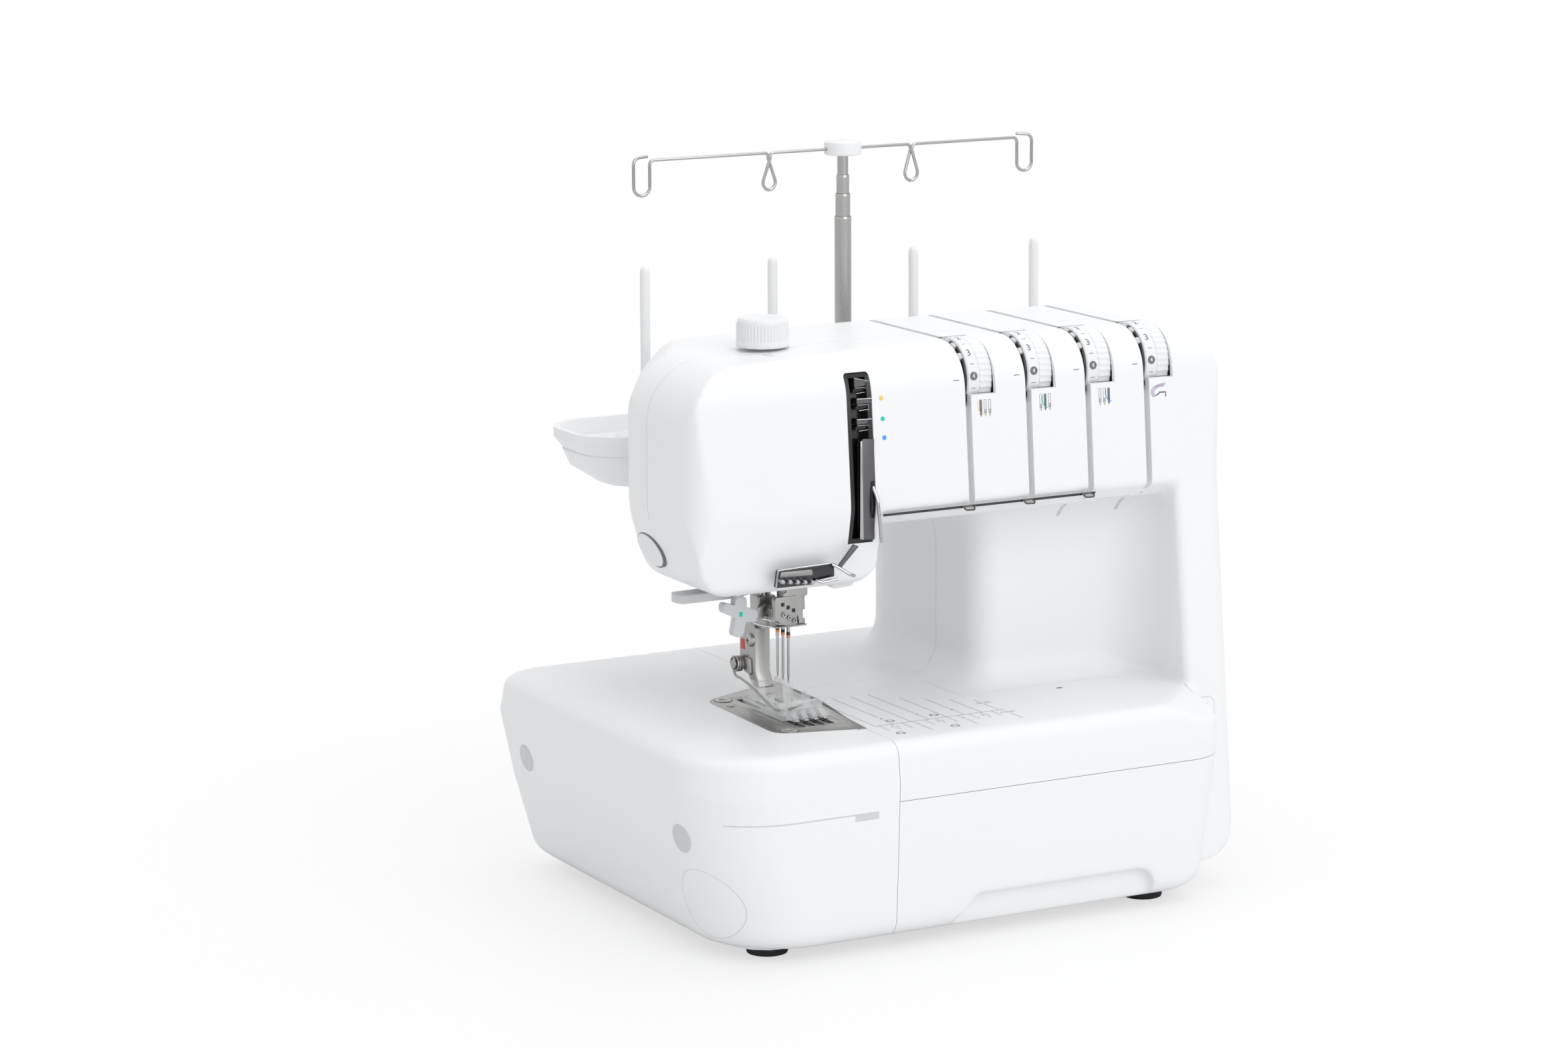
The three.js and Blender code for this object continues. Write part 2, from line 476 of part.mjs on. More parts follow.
// ---------------------------------------------------------------- cast frame
const beamTop = 20;
const beamBottom = FOOT_HEIGHT + 3.3 + GAP;
const armFloor = ARM.bottom + WALL + 3;
const armTop = armFloor + FRAME_PLATE;
const posts = [40, 100];
const bush = (x, y, z0, z1, radius) => rod('z', x, y, z0, radius + 3, z1 - z0, 24);
const web = { left: -60.5, right: -54.5 };
const guideLeft = PRESSER_BAR.x - 8.8;
const barGuide = { bottom: PRESSER_BAR.top - 11, top: PRESSER_BAR.top - 3 };
const knobGuide = { bottom: KNOB.foot + 3, top: KNOB.foot + 10 };
const dialRight = DIAL.first + DIAL.pitch * 3 + DIAL.offset + DIAL.width + 4;
const frameParts = [
  box(-106, 112, -30, 38, beamBottom, beamTop),
  box(-100, -58, -84, 30, beamBottom, beamTop),
  ...posts.map((x) => box(x, x + FRAME_PLATE, -26, 36, beamTop - 1, armTop)),
  box(posts[1], posts[1] + FRAME_PLATE, 30, 92, beamBottom, 62),
  box(web.left, 112, -26, 8, armFloor, armTop),
  box(posts[1], dialRight + 5, -27, -21, armFloor, armTop + 6),
  box(web.left, web.right, -44, 8, HEAD.bottom + 12, knobGuide.top),
  box(-112, web.right, -44, -12, HEAD.bottom + 12, HEAD.bottom + 20),
  box(guideLeft, web.right, -44, -26, barGuide.bottom, barGuide.top),
  box(guideLeft, -76, -27, -12, barGuide.bottom, barGuide.top),
  box(guideLeft, web.right, -28, -12, knobGuide.bottom, knobGuide.top),
  bush(NEEDLE_BAR.x, NEEDLE_BAR.y, HEAD.bottom + 6, HEAD.bottom + 24, NEEDLE_BAR.radius),
  bush(PRESSER_BAR.x, PRESSER_BAR.y, HEAD.bottom + 6, HEAD.bottom + 24, PRESSER_BAR.radius),
  ...posts.map((x) => box(x, x + FRAME_PLATE, UPPER_SHAFT.y - 9, UPPER_SHAFT.y + 9, armTop - 1,
    UPPER_SHAFT.z + 9)),
  box(LOOPER_SHAFT.x - 8, LOOPER_SHAFT.x + 8, -26, -16, beamTop - 1, LOOPER_SHAFT.z + 8),
  ...[[-98, -76], [-70, -80], [-98, -8], [-70, 8]].map(([x, y]) =>
    box(x, x + 7, y, y + 7, beamTop - 1, BED - PLATE.thick - GAP)),
];
const dialLugs = [DIAL.first - 14, dialRight];
dialLugs.forEach((x) => {
  frameParts.push(prism('x', [[-26, armFloor], [-14, armFloor], [-14, armTop + 8], [DIAL.y + 6, DIAL.z + 6],
    [DIAL.y - 6, DIAL.z + 6], [DIAL.y - 6, DIAL.z - 6]], x, x + 5));
});
const frameBores = [
  rod('z', THREADER.x, THREADER.y, 160, THREADER.radius + RUN, 60, 24),
  rod('z', PRESSER_BAR.x, PRESSER_BAR.y, KNOB.foot - 3, KNOB.stem + RUN, 20, 24),
  rod('z', NEEDLE_BAR.x, NEEDLE_BAR.y, 100, NEEDLE_BAR.radius + RUN, 200, 24),
  rod('z', PRESSER_BAR.x, PRESSER_BAR.y, 100, PRESSER_BAR.radius + RUN, 150, 24),
  rod('x', -50, MAIN_SHAFT.y, MAIN_SHAFT.z, MAIN_SHAFT.radius + RUN, 200, 24),
  rod('x', 0, UPPER_SHAFT.y, UPPER_SHAFT.z, UPPER_SHAFT.radius + RUN, 150, 24),
  rod('x', web.left - 5, UPPER_SHAFT.y, UPPER_SHAFT.z, UPPER_SHAFT.radius + RUN, 20, 24),
  rod('y', LOOPER_SHAFT.x, -40, LOOPER_SHAFT.z, LOOPER_SHAFT.radius + RUN, 40, 24),
  rod('x', 90, MOTOR.y, MOTOR.z, 3.6, 20, 24),
  rod('x', -60, DIAL.y, DIAL.z, DIAL_BORE + GAP, 250, 24),
];
const frame = frameParts.reduce((all, one) => all.add(one));
add('frame_casting', frameBores.reduce((solid, bore) => solid.subtract(bore), frame), 'cast');

// ---------------------------------------------------------------- drive
const pulley = (x, y, z, radius, width) => rod('x', x - 0.5, y, z, radius, width + 1, 24)
  .add(rod('x', x - 1, y, z, radius + 2.4, 1, 24)).add(rod('x', x + width, y, z, radius + 2.4, 1, 24));
const beltLoop = (ya, za, ra, yb, zb, rb, x, width) => {
  const ring = (grow) => {
    const a = new THREE.Vector2(ya, za);
    const b = new THREE.Vector2(yb, zb);
    const along = b.clone().sub(a).angle();
    const lift = Math.acos((ra - rb) / a.distanceTo(b));
    const side = (c, r, from, to) => Array.from({ length: 13 }, (_, k) => {
      const angle = from + (to - from) * k / 12;
      return [c.x + (r + grow) * Math.cos(angle), c.y + (r + grow) * Math.sin(angle)];
    });
    return [...side(a, ra, along + lift, along + 2 * Math.PI - lift), ...side(b, rb, along - lift,
      along + lift)];
  };
  return prism('x', ring(BELT.thick + GAP), x, x + width).subtract(prism('x', ring(GAP), x - 1,
    x + width + 1));
};
const timingX = TIMING.left;
const mainShaft = rod('x', MAIN_SHAFT.left, MAIN_SHAFT.y, MAIN_SHAFT.z, MAIN_SHAFT.radius,
  HANDWHEEL.left + 8 - MAIN_SHAFT.left, 20)
  .add(pulley(BELT.left - 0.5, MAIN_SHAFT.y, MAIN_SHAFT.z, PULLEY.main, PULLEY.width))
  .add(pulley(timingX - 0.5, MAIN_SHAFT.y, MAIN_SHAFT.z, PULLEY.timing, PULLEY.width))
  .add(rod('x', MAIN_SHAFT.left, MAIN_SHAFT.y, MAIN_SHAFT.z + 3, 11, 8, 24));
add('main_shaft', mainShaft, 'steel');
const wheelProfile = [[0, 0], [28, 0], [HANDWHEEL.radius, 3], [HANDWHEEL.radius, 9], [30, 13],
  [25, 13], [23, 9], [HANDWHEEL.hub, 9], [HANDWHEEL.hub - 1, HANDWHEEL.thick], [0, HANDWHEEL.thick]];
const wheel = new THREE.LatheGeometry(wheelProfile.map(([r, h]) => new THREE.Vector2(r, h)), 32)
  .rotateZ(-Math.PI / 2).translate(HANDWHEEL.left, MAIN_SHAFT.y, MAIN_SHAFT.z);
add('handwheel', solidOf(wheel).subtract(
  rod('x', HANDWHEEL.left - 1, MAIN_SHAFT.y, MAIN_SHAFT.z, MAIN_SHAFT.radius + GAP, 9 + GAP, 20)), 'trim');
add('upper_shaft', rod('x', UPPER_SHAFT.left, UPPER_SHAFT.y, UPPER_SHAFT.z, UPPER_SHAFT.radius,
  timingX + PULLEY.width + 2 - UPPER_SHAFT.left, 24)
  .add(pulley(timingX - 0.5, UPPER_SHAFT.y, UPPER_SHAFT.z, PULLEY.timing, PULLEY.width))
  .add(rod('x', UPPER_SHAFT.left, UPPER_SHAFT.y, UPPER_SHAFT.z, UPPER_SHAFT.disc, UPPER_SHAFT.thick, 24))
  .add(rod('x', UPPER_SHAFT.left - 5, UPPER_SHAFT.y, UPPER_SHAFT.z + NEEDLE_BAR.stroke / 2, 2.5, 6, 12)),
    'steel');
add('timing_belt', beltLoop(MAIN_SHAFT.y, MAIN_SHAFT.z, PULLEY.timing, UPPER_SHAFT.y, UPPER_SHAFT.z,
  PULLEY.timing, timingX, TIMING.width), 'belt');
add('drive_belt', beltLoop(MAIN_SHAFT.y, MAIN_SHAFT.z, PULLEY.main, MOTOR.y, MOTOR.z, PULLEY.motor,
  BELT.left, BELT.width), 'belt');
add('motor', rod('x', MOTOR.left, MOTOR.y, MOTOR.z, MOTOR.radius, MOTOR.right - MOTOR.left, 32)
  .subtract(rod('x', MOTOR.right - 12, MOTOR.y, MOTOR.z, 3 + RUN, 20, 24)), 'cast');
add('motor_pulley', pulley(BELT.left - 0.5, MOTOR.y, MOTOR.z, PULLEY.motor, PULLEY.width)
  .add(rod('x', MOTOR.right - 11, MOTOR.y, MOTOR.z, 3, BELT.left - MOTOR.right + 12, 24)), 'steel');

// ---------------------------------------------------------------- looper and feed
add('looper_shaft', rod('y', LOOPER_SHAFT.x, LOOPER_SHAFT.front, LOOPER_SHAFT.z, LOOPER_SHAFT.radius,
  LOOPER_SHAFT.back - LOOPER_SHAFT.front, 24), 'steel');
const bladeY = NEEDLE.y + 3.2;
const looperArm = prism('y', [[LOOPER_SHAFT.x - 7, LOOPER_SHAFT.z - 7, 4], [LOOPER_SHAFT.x + 7,
  LOOPER_SHAFT.z - 7, 4],
  [LOOPER_SHAFT.x + 7, LOOPER_SHAFT.z + 8, 4], [LOOPER_SHAFT.x + 5, BED - 12, 2],
  [LOOPER_SHAFT.x - 7, BED - 9.8], [LOOPER_SHAFT.x - 8.5, BED - 11], [LOOPER_SHAFT.x, BED - 16, 3],
  [LOOPER_SHAFT.x - 7, LOOPER_SHAFT.z + 8, 4]],
bladeY - 1.6, bladeY + 2, 3);
add('looper', looperArm.subtract(rod('y', LOOPER_SHAFT.x, bladeY - 5, LOOPER_SHAFT.z,
  LOOPER_SHAFT.radius + GAP, 12, 24)), 'steel');

const slotX = [-1.5, -0.5, 0.5, 1.5].map((k) => NEEDLE.x + k * FEED.pitch);
const feedRows = [[FEED.front, NEEDLE.y - FEED.waist], [NEEDLE.y + FEED.waist, FEED.back]];
const rails = slotX.flatMap((x) => feedRows.map(([y0, y1]) => box(x - FEED.rail / 2, x + FEED.rail / 2,
  y0 + 2.6, y1 - 2.6, FEED.root, BED - GAP)));
const carrier = box(slotX[0] - 1.5, slotX[3] + 1.5, FEED.front + 2.6, FEED.back - 2.6,
  FEED.root - 2, FEED.root + 1)
  .subtract(box(NEEDLE.x - 5.5, NEEDLE.x + 5.5, NEEDLE.y - FEED.waist + 3, NEEDLE.y + FEED.waist - 3,
    ...THROUGH));
add('feed_dog', rails.reduce((all, one) => all.add(one), carrier), 'steel');

// ---------------------------------------------------------------- stitch plate
const plateSolid = prism('z', plateOutline, BED - PLATE.thick, BED, 5);
const plateCuts = [
  ...slotX.flatMap((x) => feedRows.map(([y0, y1]) => box(x - FEED.slot / 2, x + FEED.slot / 2, y0, y1,
    ...THROUGH))),
  box(NEEDLE.x - NEEDLE.pitch - 1.6, NEEDLE.x + NEEDLE.pitch + 1.6, NEEDLE.y - 1.6,
    NEEDLE.y + 1.6, ...THROUGH),
];
add('stitch_plate', plateCuts.reduce((solid, cut) => solid.subtract(cut), plateSolid), 'steel');

// ---------------------------------------------------------------- needle bar, clamp and needles
add('needle_bar', rod('z', NEEDLE_BAR.x, NEEDLE_BAR.y, NEEDLE_BAR.bottom, NEEDLE_BAR.radius,
  NEEDLE_BAR.top - NEEDLE_BAR.bottom, 24), 'steel');
const clampBody = prism('y', [[CLAMP.left, CLAMP.bottom + 1.5], [CLAMP.right - 5, CLAMP.bottom, 1],
  [CLAMP.right, CLAMP.bottom + 5],
  [CLAMP.right, CLAMP.top + 1.2], [CLAMP.left + 6, CLAMP.top + 1.2], [CLAMP.left + 6, CLAMP.top - 4],
    [CLAMP.left, CLAMP.top - 4]],
CLAMP.front, CLAMP.back);
const needleX = [-1, 0, 1].map((k) => NEEDLE.x + k * NEEDLE.pitch);
const needleSeats = needleX.map((x) => rod('z', x, NEEDLE.y, CLAMP.bottom - 2, NEEDLE.shank + GAP,
  NEEDLE.top + GAP - CLAMP.bottom + 2, 12));
add('needle_clamp', [...needleSeats, rod('z', NEEDLE_BAR.x, NEEDLE_BAR.y, NEEDLE_BAR.bottom - GAP,
  NEEDLE_BAR.radius + GAP, 40, 24)].reduce((solid, cut) => solid.subtract(cut), clampBody), 'steel');
['left', 'middle', 'right'].forEach((side, k) => {
  const tip = NEEDLE.tip - NEEDLE.step * (k - 1);
  add(`needle_${side}`, turned(needleX[k], NEEDLE.y, [[0, tip], [0.3, tip + 1.2], [NEEDLE.radius, tip + 4],
    [NEEDLE.radius, NEEDLE.top - NEEDLE.neck], [NEEDLE.shank, NEEDLE.top - NEEDLE.neck + 1.5],
    [NEEDLE.shank, NEEDLE.top], [0, NEEDLE.top]], 10), 'chrome');
});

// ---------------------------------------------------------------- presser bar, shank, foot and lifter
add('presser_bar', rod('z', PRESSER_BAR.x, PRESSER_BAR.y, PRESSER_BAR.bottom, PRESSER_BAR.radius,
  PRESSER_BAR.top - PRESSER_BAR.bottom, 24), 'steel');
const shankProfile = [[SHANK.front, SHANK.bottom + 9], [SHANK.front - 3, SHANK.bottom + 1],
  [SHANK.front + 5, SHANK.bottom + 1],
  [SHANK.back, SHANK.bottom + 14, 3], [SHANK.back, SHANK.top, 1.5], [SHANK.front, SHANK.top, 1.5]];
const footPin = { y: SHANK.front - 0.5, z: SHANK.bottom + 3.5 };
add('foot_shank', prism('x', shankProfile, SHANK.left, SHANK.right, 3)
  .subtract(rod('z', PRESSER_BAR.x, PRESSER_BAR.y, PRESSER_BAR.bottom - GAP, PRESSER_BAR.radius + GAP,
    40, 24))
  .subtract(rod('x', SHANK.left - 1, footPin.y, footPin.z, 1.1 + RUN, 20, 16)), 'steel');
const footMiddle = (FOOT.left + FOOT.right) / 2;
const sole = prism('x', [[FOOT.front, FOOT.sole + 0.8], [FOOT.front + 4, FOOT.sole], [FOOT.back - 8,
  FOOT.sole],
  [FOOT.back, FOOT.sole + 1.4], [FOOT.back, FOOT.deck], [FOOT.front, FOOT.deck]], FOOT.left, FOOT.right);
const cheeks = [[SHANK.left - 4.6, SHANK.left - 0.5], [SHANK.right + 0.5, SHANK.right + 4.6]].map(([x0,
  x1]) =>
  prism('x', [[footPin.y - 6, FOOT.deck - 1], [footPin.y + 6, FOOT.deck - 1], [footPin.y + 4,
    footPin.z + 1.7, 1],
    [footPin.y - 4, footPin.z + 1.7, 1]], x0, x1, 3));
const toeGaps = slotX.slice(0, 3).map((x) => box(x + 1.6, x + FEED.pitch - 1.6, FOOT.front - 1,
  FOOT.front + 11, ...THROUGH));
const needleGap = box(NEEDLE.x - NEEDLE.pitch - 1.8, NEEDLE.x + NEEDLE.pitch + 1.8, NEEDLE.y - 2.4,
  NEEDLE.y + 2.4, ...THROUGH);
const footBody = cheeks.reduce((all, one) => all.add(one), sole)
  .add(rod('x', SHANK.left - 4, footPin.y, footPin.z, 1.1, SHANK.right - SHANK.left + 8, 16));
add('presser_foot', [...toeGaps, needleGap].reduce((solid, cut) => solid.subtract(cut), footBody), 'clear');
const coil = { x: SHANK.left - 1.2, y: -2, z: SHANK.bottom + 9.2, radius: 3.6 };
const coilTurns = Array.from({ length: 19 }, (_, k) => {
  const angle = 2 * Math.PI * k / 6;
  return [coil.x - 1.4 * k / 6, coil.y + coil.radius * Math.cos(angle),
    coil.z + coil.radius * Math.sin(angle)];
});
add('foot_spring', wire([...coilTurns, [-93, -1, FOOT.deck + 10.2],
  [-93.2, -12, FOOT.deck + 8.8], [-93.2, -30, FOOT.deck + 5.6], [-93, -46, FOOT.deck + 2.2],
  [-90, -51, FOOT.deck + 1.6], [-76, -47, FOOT.deck + 1.6]], 0.5, 56), 'steel');
add('lifter_lever', prism('z', [[LIFTER.tip, LIFTER.front - 6, 4], [LIFTER.left - 7, LIFTER.front - 6, 2],
  [LIFTER.right, LIFTER.front, 2], [LIFTER.right, LIFTER.back, 2], [LIFTER.tip, LIFTER.back - 2, 4]],
LIFTER.bottom, LIFTER.top).add(box(LIFTER.left, LIFTER.right, LIFTER.front, LIFTER.back, LIFTER.top - 1,
  HEAD.bottom + 12 - GAP)), 'grey');

// ---------------------------------------------------------------- threader, knob and lamp
add('threader', rod('z', THREADER.x, THREADER.y, 156, THREADER.radius, 60, 16)
  .add(prism('y', [[-116, 158, 1.5], [-109, 154.5], [-111, 145, 2], [-105, 145, 2], [-103.6, 152.4],
    [-97, 151, 2],
    [-97, 157, 2], [-103, 159.5], [-103, 165, 2], [-109, 165, 2], [-109.6, 161], [-116, 163, 1.5]],
  THREADER.y - 2.4, THREADER.y + 2.4, 2)), 'grey');
add('pressure_knob', turned(PRESSER_BAR.x, PRESSER_BAR.y, [[0, KNOB.foot], [KNOB.stem, KNOB.foot],
  [KNOB.stem, KNOB.bottom], [KNOB.radius, KNOB.bottom], [KNOB.radius, KNOB.top - 2.5],
    [KNOB.radius - 2.5, KNOB.top],
  [0, KNOB.top]], 32), 'trim');
add('lamp_cover', prism('x', rect(-58, -43, 165.8, HEAD.bottom - GAP, 1.5), -69, -55, 3), 'clear');

// ---------------------------------------------------------------- tension dials
grooveX.forEach((x, k) => {
  const left = x + DIAL.offset;
  const drum = DIAL.width / 2;
  add(`tension_dial_${k + 1}`, rod('x', left, DIAL.y, DIAL.z, DIAL.radius - 0.5, drum, 32)
    .add(rod('x', left + drum - 0.5, DIAL.y, DIAL.z, DIAL.radius, drum + 0.5, 32))
    .subtract(rod('x', left - 1, DIAL.y, DIAL.z, DIAL_BORE + RUN, DIAL.width + 2, 16)), 'trim');
});
add('dial_axle', rod('x', dialLugs[0] - 2, DIAL.y, DIAL.z, DIAL_BORE, dialLugs[1] - dialLugs[0] + 9, 24),
  'steel');

// ---------------------------------------------------------------- thread channel, guide and strip
const channelBack = headForm(CHANNEL.depth - 2);
add('thread_channel', headForm(0.5).subtract(headForm(CHANNEL.depth)).intersect(channelBox(-GAP))
  .subtract(channelBox(-2.4).subtract(channelBack)), 'chrome');
add('needle_thread_guide', prism('y', [[-101, 177], [-72, 175], [-62, 178.5, 1], [-62, 181], [-72,
  182.5], [-101, 182.8]],
  -77.5, -66).subtract(headForm(-GAP)), 'chrome');
const strip = box(DIAL.first - 46, grooveX[2] + 2, HEAD.front - 1.2, HEAD.front + 9, ARM.lip - 3.4,
  ARM.lip - 1);
const clips = grooveX.slice(0, 3).map((x) => box(x - 4.5, x + 2.5, HEAD.front - 2.6, HEAD.front + 3,
  ARM.lip - 3.4, ARM.lip - 1));
add('thread_strip', clips.reduce((all, one) => all.add(one), strip).subtract(headForm(-GAP)), 'chrome');

// ---------------------------------------------------------------- right side controls
const sideKnob = (y) => rod('x', SIDE_DIAL.left, y, SIDE_DIAL.z, SIDE_DIAL.radius, SIDE_DIAL.thick, 28,
  SIDE_DIAL.radius - 1)
  .add(rod('x', SIDE_DIAL.left - 12, y, SIDE_DIAL.z, SIDE_DIAL.stem, 13, 16));
add('stitch_length_dial', sideKnob(SIDE_DIAL.stitch), 'trim');
add('differential_dial', sideKnob(SIDE_DIAL.feed), 'trim');
const inletFace = 151.8;
add('power_inlet', box(inletFace - INLET.deep, inletFace, INLET.y - INLET.wide / 2,
  INLET.y + INLET.wide / 2,
  INLET.z - INLET.tall / 2, INLET.z + INLET.tall / 2).subtract(box(inletFace - INLET.deep + 4, 160,
  INLET.y - 10, INLET.y + 10, INLET.z - 7, INLET.z + 7)).add([-4,
    4].map((y) => box(inletFace - INLET.deep + 3,
  inletFace - 5, INLET.y + y - 1, INLET.y + y + 1, INLET.z - 2, INLET.z + 2)).reduce((a,
    b) => a.add(b))), 'dark');
add('power_switch', prism('y', [[145, 78.6], [151, 78.6], [155, 80.4], [153, 84], [155, 87.6], [151,
  89.4], [145, 89.4]],
  SWITCH.y - SWITCH.wide / 2 + 3, SWITCH.y + SWITCH.wide / 2 - 3), 'dark');

// ---------------------------------------------------------------- spool stand
const trayLevel = (z, x0, x1, inwards, r) => ({ z, loop: rounded(rect(x0 + inwards, x1 - inwards,
  TRAY.front + inwards * 0.4, TRAY.back - inwards, Math.max(r - inwards * 0.5, 5)), 5) });
const pan = skin([trayLevel(TRAY.ledge, TRAY.left, TRAY.right, 5, 24), trayLevel(TRAY.rim - 5, TRAY.left,
  TRAY.right, 0, 24),
  trayLevel(TRAY.rim, TRAY.left, TRAY.right, 0, 24)]);
const panInside = skin([trayLevel(TRAY.floor, TRAY.left, TRAY.right, 6, 24),
  trayLevel(TRAY.rim + 0.2, TRAY.left, TRAY.right, 2.4, 24)]);
const keel = skin([trayLevel(TRAY.keel, TRAY.left, 22, 18, 24), trayLevel((TRAY.keel + TRAY.ledge) / 2,
  TRAY.left, 22, 7, 24),
  trayLevel(TRAY.ledge + 1, TRAY.left, 22, 3.6, 24)]);
const keelInside = skin([trayLevel(TRAY.keel - 1, TRAY.left, 22, 22, 24),
  trayLevel((TRAY.keel + TRAY.ledge) / 2, TRAY.left, 22, 10, 24), trayLevel(TRAY.ledge + 1, TRAY.left,
    22, 7, 24)]);
add('spool_tray', pan.subtract(panInside).add(keel.subtract(keelInside)), 'shell');
PINS.forEach((x, k) => {
  add(`spool_pin_${k + 1}`, turned(x, STAND_Y, [[0, TRAY.floor + GAP], [PIN.disc, TRAY.floor + GAP],
    [PIN.disc, TRAY.floor + 2.6],
    [PIN.disc - 3, TRAY.floor + 4], [PIN.radius + 2, TRAY.floor + 5], [PIN.radius, TRAY.floor + 9],
      [PIN.radius, PIN.top - 1.4],
    [PIN.radius - 1.2, PIN.top], [0, PIN.top]], 16), 'trim');
});

// ---------------------------------------------------------------- thread mast and guide bar
const capBottom = BAR.z - BAR.under;
const capTop = BAR.z + BAR.over;
const mastNames = ['mast_base_tube', 'mast_middle_tube', 'mast_upper_tube'];
const tube = (radius, from, to) => rod('z', MAST.x, STAND_Y, from, radius, to - from, 24);
mastNames.forEach((name, k) => {
  const radius = MAST.radius - MAST.step * k;
  const from = MAST.foot + 3 * k;
  add(name, tube(radius, from, BAR.z - TUBE_DROP[k]).subtract(tube(radius - MAST.wall, from + 1.5, FAR)),
    'steel');
});
add('mast_top_tube', tube(MAST.radius - MAST.step * 3, MAST.foot + 9, capBottom - GAP), 'steel');
const bar = [rod('x', BAR.left, STAND_Y, BAR.z, BAR.wire + 0.15, BAR.right - BAR.left, 8)];
[[BAR.left, -1], [BAR.right, 1]].forEach(([x, out]) => {
  bar.push(wire([[x - 2 * out, STAND_Y, BAR.z], [x + 6 * out, STAND_Y, BAR.z], [x + 8.4 * out, STAND_Y,
    BAR.z - 3],
    [x + 8.4 * out, STAND_Y, BAR.z - 13], [x + 4 * out, STAND_Y, BAR.z - 17.6], [x - 0.6 * out, STAND_Y,
      BAR.z - 13],
    [x - 0.6 * out, STAND_Y, BAR.z - 4]], BAR.wire, 15));
});
[-29.6, 53.6].forEach((x) => {
  bar.push(wire([[x - 1.6, STAND_Y, BAR.z], [x - 3.6, STAND_Y, BAR.z - 8], [x - 4, STAND_Y, BAR.z - 13],
    [x, STAND_Y, BAR.z - 17], [x + 4, STAND_Y, BAR.z - 13], [x + 3.6, STAND_Y, BAR.z - 8],
    [x + 1.6, STAND_Y, BAR.z]], BAR.wire, 15));
});
bar.push(turned(MAST.x, STAND_Y, [[0, capBottom], [BAR.cap, capBottom], [BAR.cap, capTop - 1.2],
  [BAR.cap - 1.2, capTop], [0, capTop]], 20));
add('guide_bar', bar.reduce((all, one) => all.add(one)), 'steel');

export default machine;
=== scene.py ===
"""Coverstitch serger: the finished pieces, their materials and the stage around the fixed frame."""

import json
import math

import bmesh
import bpy
from bpy.props import FloatProperty, FloatVectorProperty, IntProperty
from mathutils import Matrix, Quaternion, Vector
from mathutils.bvhtree import BVHTree

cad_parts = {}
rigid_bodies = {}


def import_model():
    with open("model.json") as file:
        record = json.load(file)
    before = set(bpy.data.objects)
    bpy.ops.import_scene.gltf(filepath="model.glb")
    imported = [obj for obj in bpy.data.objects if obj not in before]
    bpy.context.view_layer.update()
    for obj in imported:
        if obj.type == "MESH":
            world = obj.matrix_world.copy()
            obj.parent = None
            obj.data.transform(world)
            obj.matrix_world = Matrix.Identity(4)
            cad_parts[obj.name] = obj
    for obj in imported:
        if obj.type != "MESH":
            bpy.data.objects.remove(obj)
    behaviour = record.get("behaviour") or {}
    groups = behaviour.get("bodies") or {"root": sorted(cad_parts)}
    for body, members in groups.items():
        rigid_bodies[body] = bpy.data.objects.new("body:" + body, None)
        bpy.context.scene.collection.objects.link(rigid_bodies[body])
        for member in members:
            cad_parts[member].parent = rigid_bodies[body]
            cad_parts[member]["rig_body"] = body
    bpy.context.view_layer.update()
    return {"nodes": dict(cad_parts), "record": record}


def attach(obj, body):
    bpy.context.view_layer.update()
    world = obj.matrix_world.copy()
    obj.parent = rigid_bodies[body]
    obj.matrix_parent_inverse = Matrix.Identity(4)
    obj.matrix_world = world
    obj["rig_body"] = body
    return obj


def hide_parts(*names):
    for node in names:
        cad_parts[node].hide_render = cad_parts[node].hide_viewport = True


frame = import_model()

bl_info = {
    "name": "Coverstitch Serger",
    "version": (1, 0, 0),
    "blender": (4, 5, 0),
    "location": "3D View > Sidebar > Serger",
    "description": "Casing, stitching parts, dials and spool stand of a domestic coverstitch serger",
    "category": "Object",
}

MM = 0.001
FAR = 400.0
UP = Vector((0, 0, 1))

# ---------------------------------------------------------------- sizes, in millimetres
BED = 104.0
GROUND = 6.0
BASE = {"left": -167, "right": 129, "front": -122.5, "back": 122.5}
BASE_LEAN = {"left": 17, "right": 9, "front": 4, "back": 7}
BASE_ROUND = {"left": 13, "right": 9, "front": 10, "back": 12}
BASE_CORNERS = (38, 20, 24, 14)
BASE_FOOT = 10
BED_RISE = 1.8 / 13
KINK = 84.0
SHOULDER = 97.0
COLUMN = {"left": 29, "right": 151.6, "recess": -38, "back": 100, "top": 221}
LEG = {"left": 122.8, "front": -75, "lean": 23, "round": 14, "bottom": 14, "corner": 26, "step": -91.6}
HEAD = {"left": -149, "right": 154.3, "top": 284.3, "bottom": 170.7, "back": 38, "front": -75,
        "crease": 209.5, "lean": 6.4, "brow": 22, "shoulder": 36, "crown": -40, "drop": 4}
ARM = {"bottom": 198, "lip": 207, "start": -25, "diagonal": -53.5}
HEAD_SEAM = -26.0
COLUMN_SEAM = 2.5
BED_SEAM = -22.5
LEFT_SEAM = {"back": -53.3, "front": -63.8, "turn": -84}
PLATE = {"left": -106.4, "backLeft": -103.7, "back": 23.6, "backStep": 1.2, "frontStep": -76.2,
         "front": -88.3, "right": -62.9, "waist": -56.7, "waistY": -27.1, "rightBack": -53.5}
DOOR_TOP = 75.0
DOOR_BACK = -109.0
NOTCH = {"left": -31, "right": 84, "top": 22.5, "slope": 13, "deep": 9.5}
NEEDLE_BAR = (-73.6, -33.6)
PRESSER_BAR = (-83.2, -21.5)
THREADER = (-106.6, -38.6)
DIAL = {"first": 4.1, "pitch": 34.4, "y": -48.3, "z": 265.7, "radius": 19.3, "offset": 1.8, "width": 13.7,
        "sill": 259.3, "slot": 253, "back": -40.5}
DIALS_X = [DIAL["first"] + DIAL["pitch"] * k for k in range(4)]
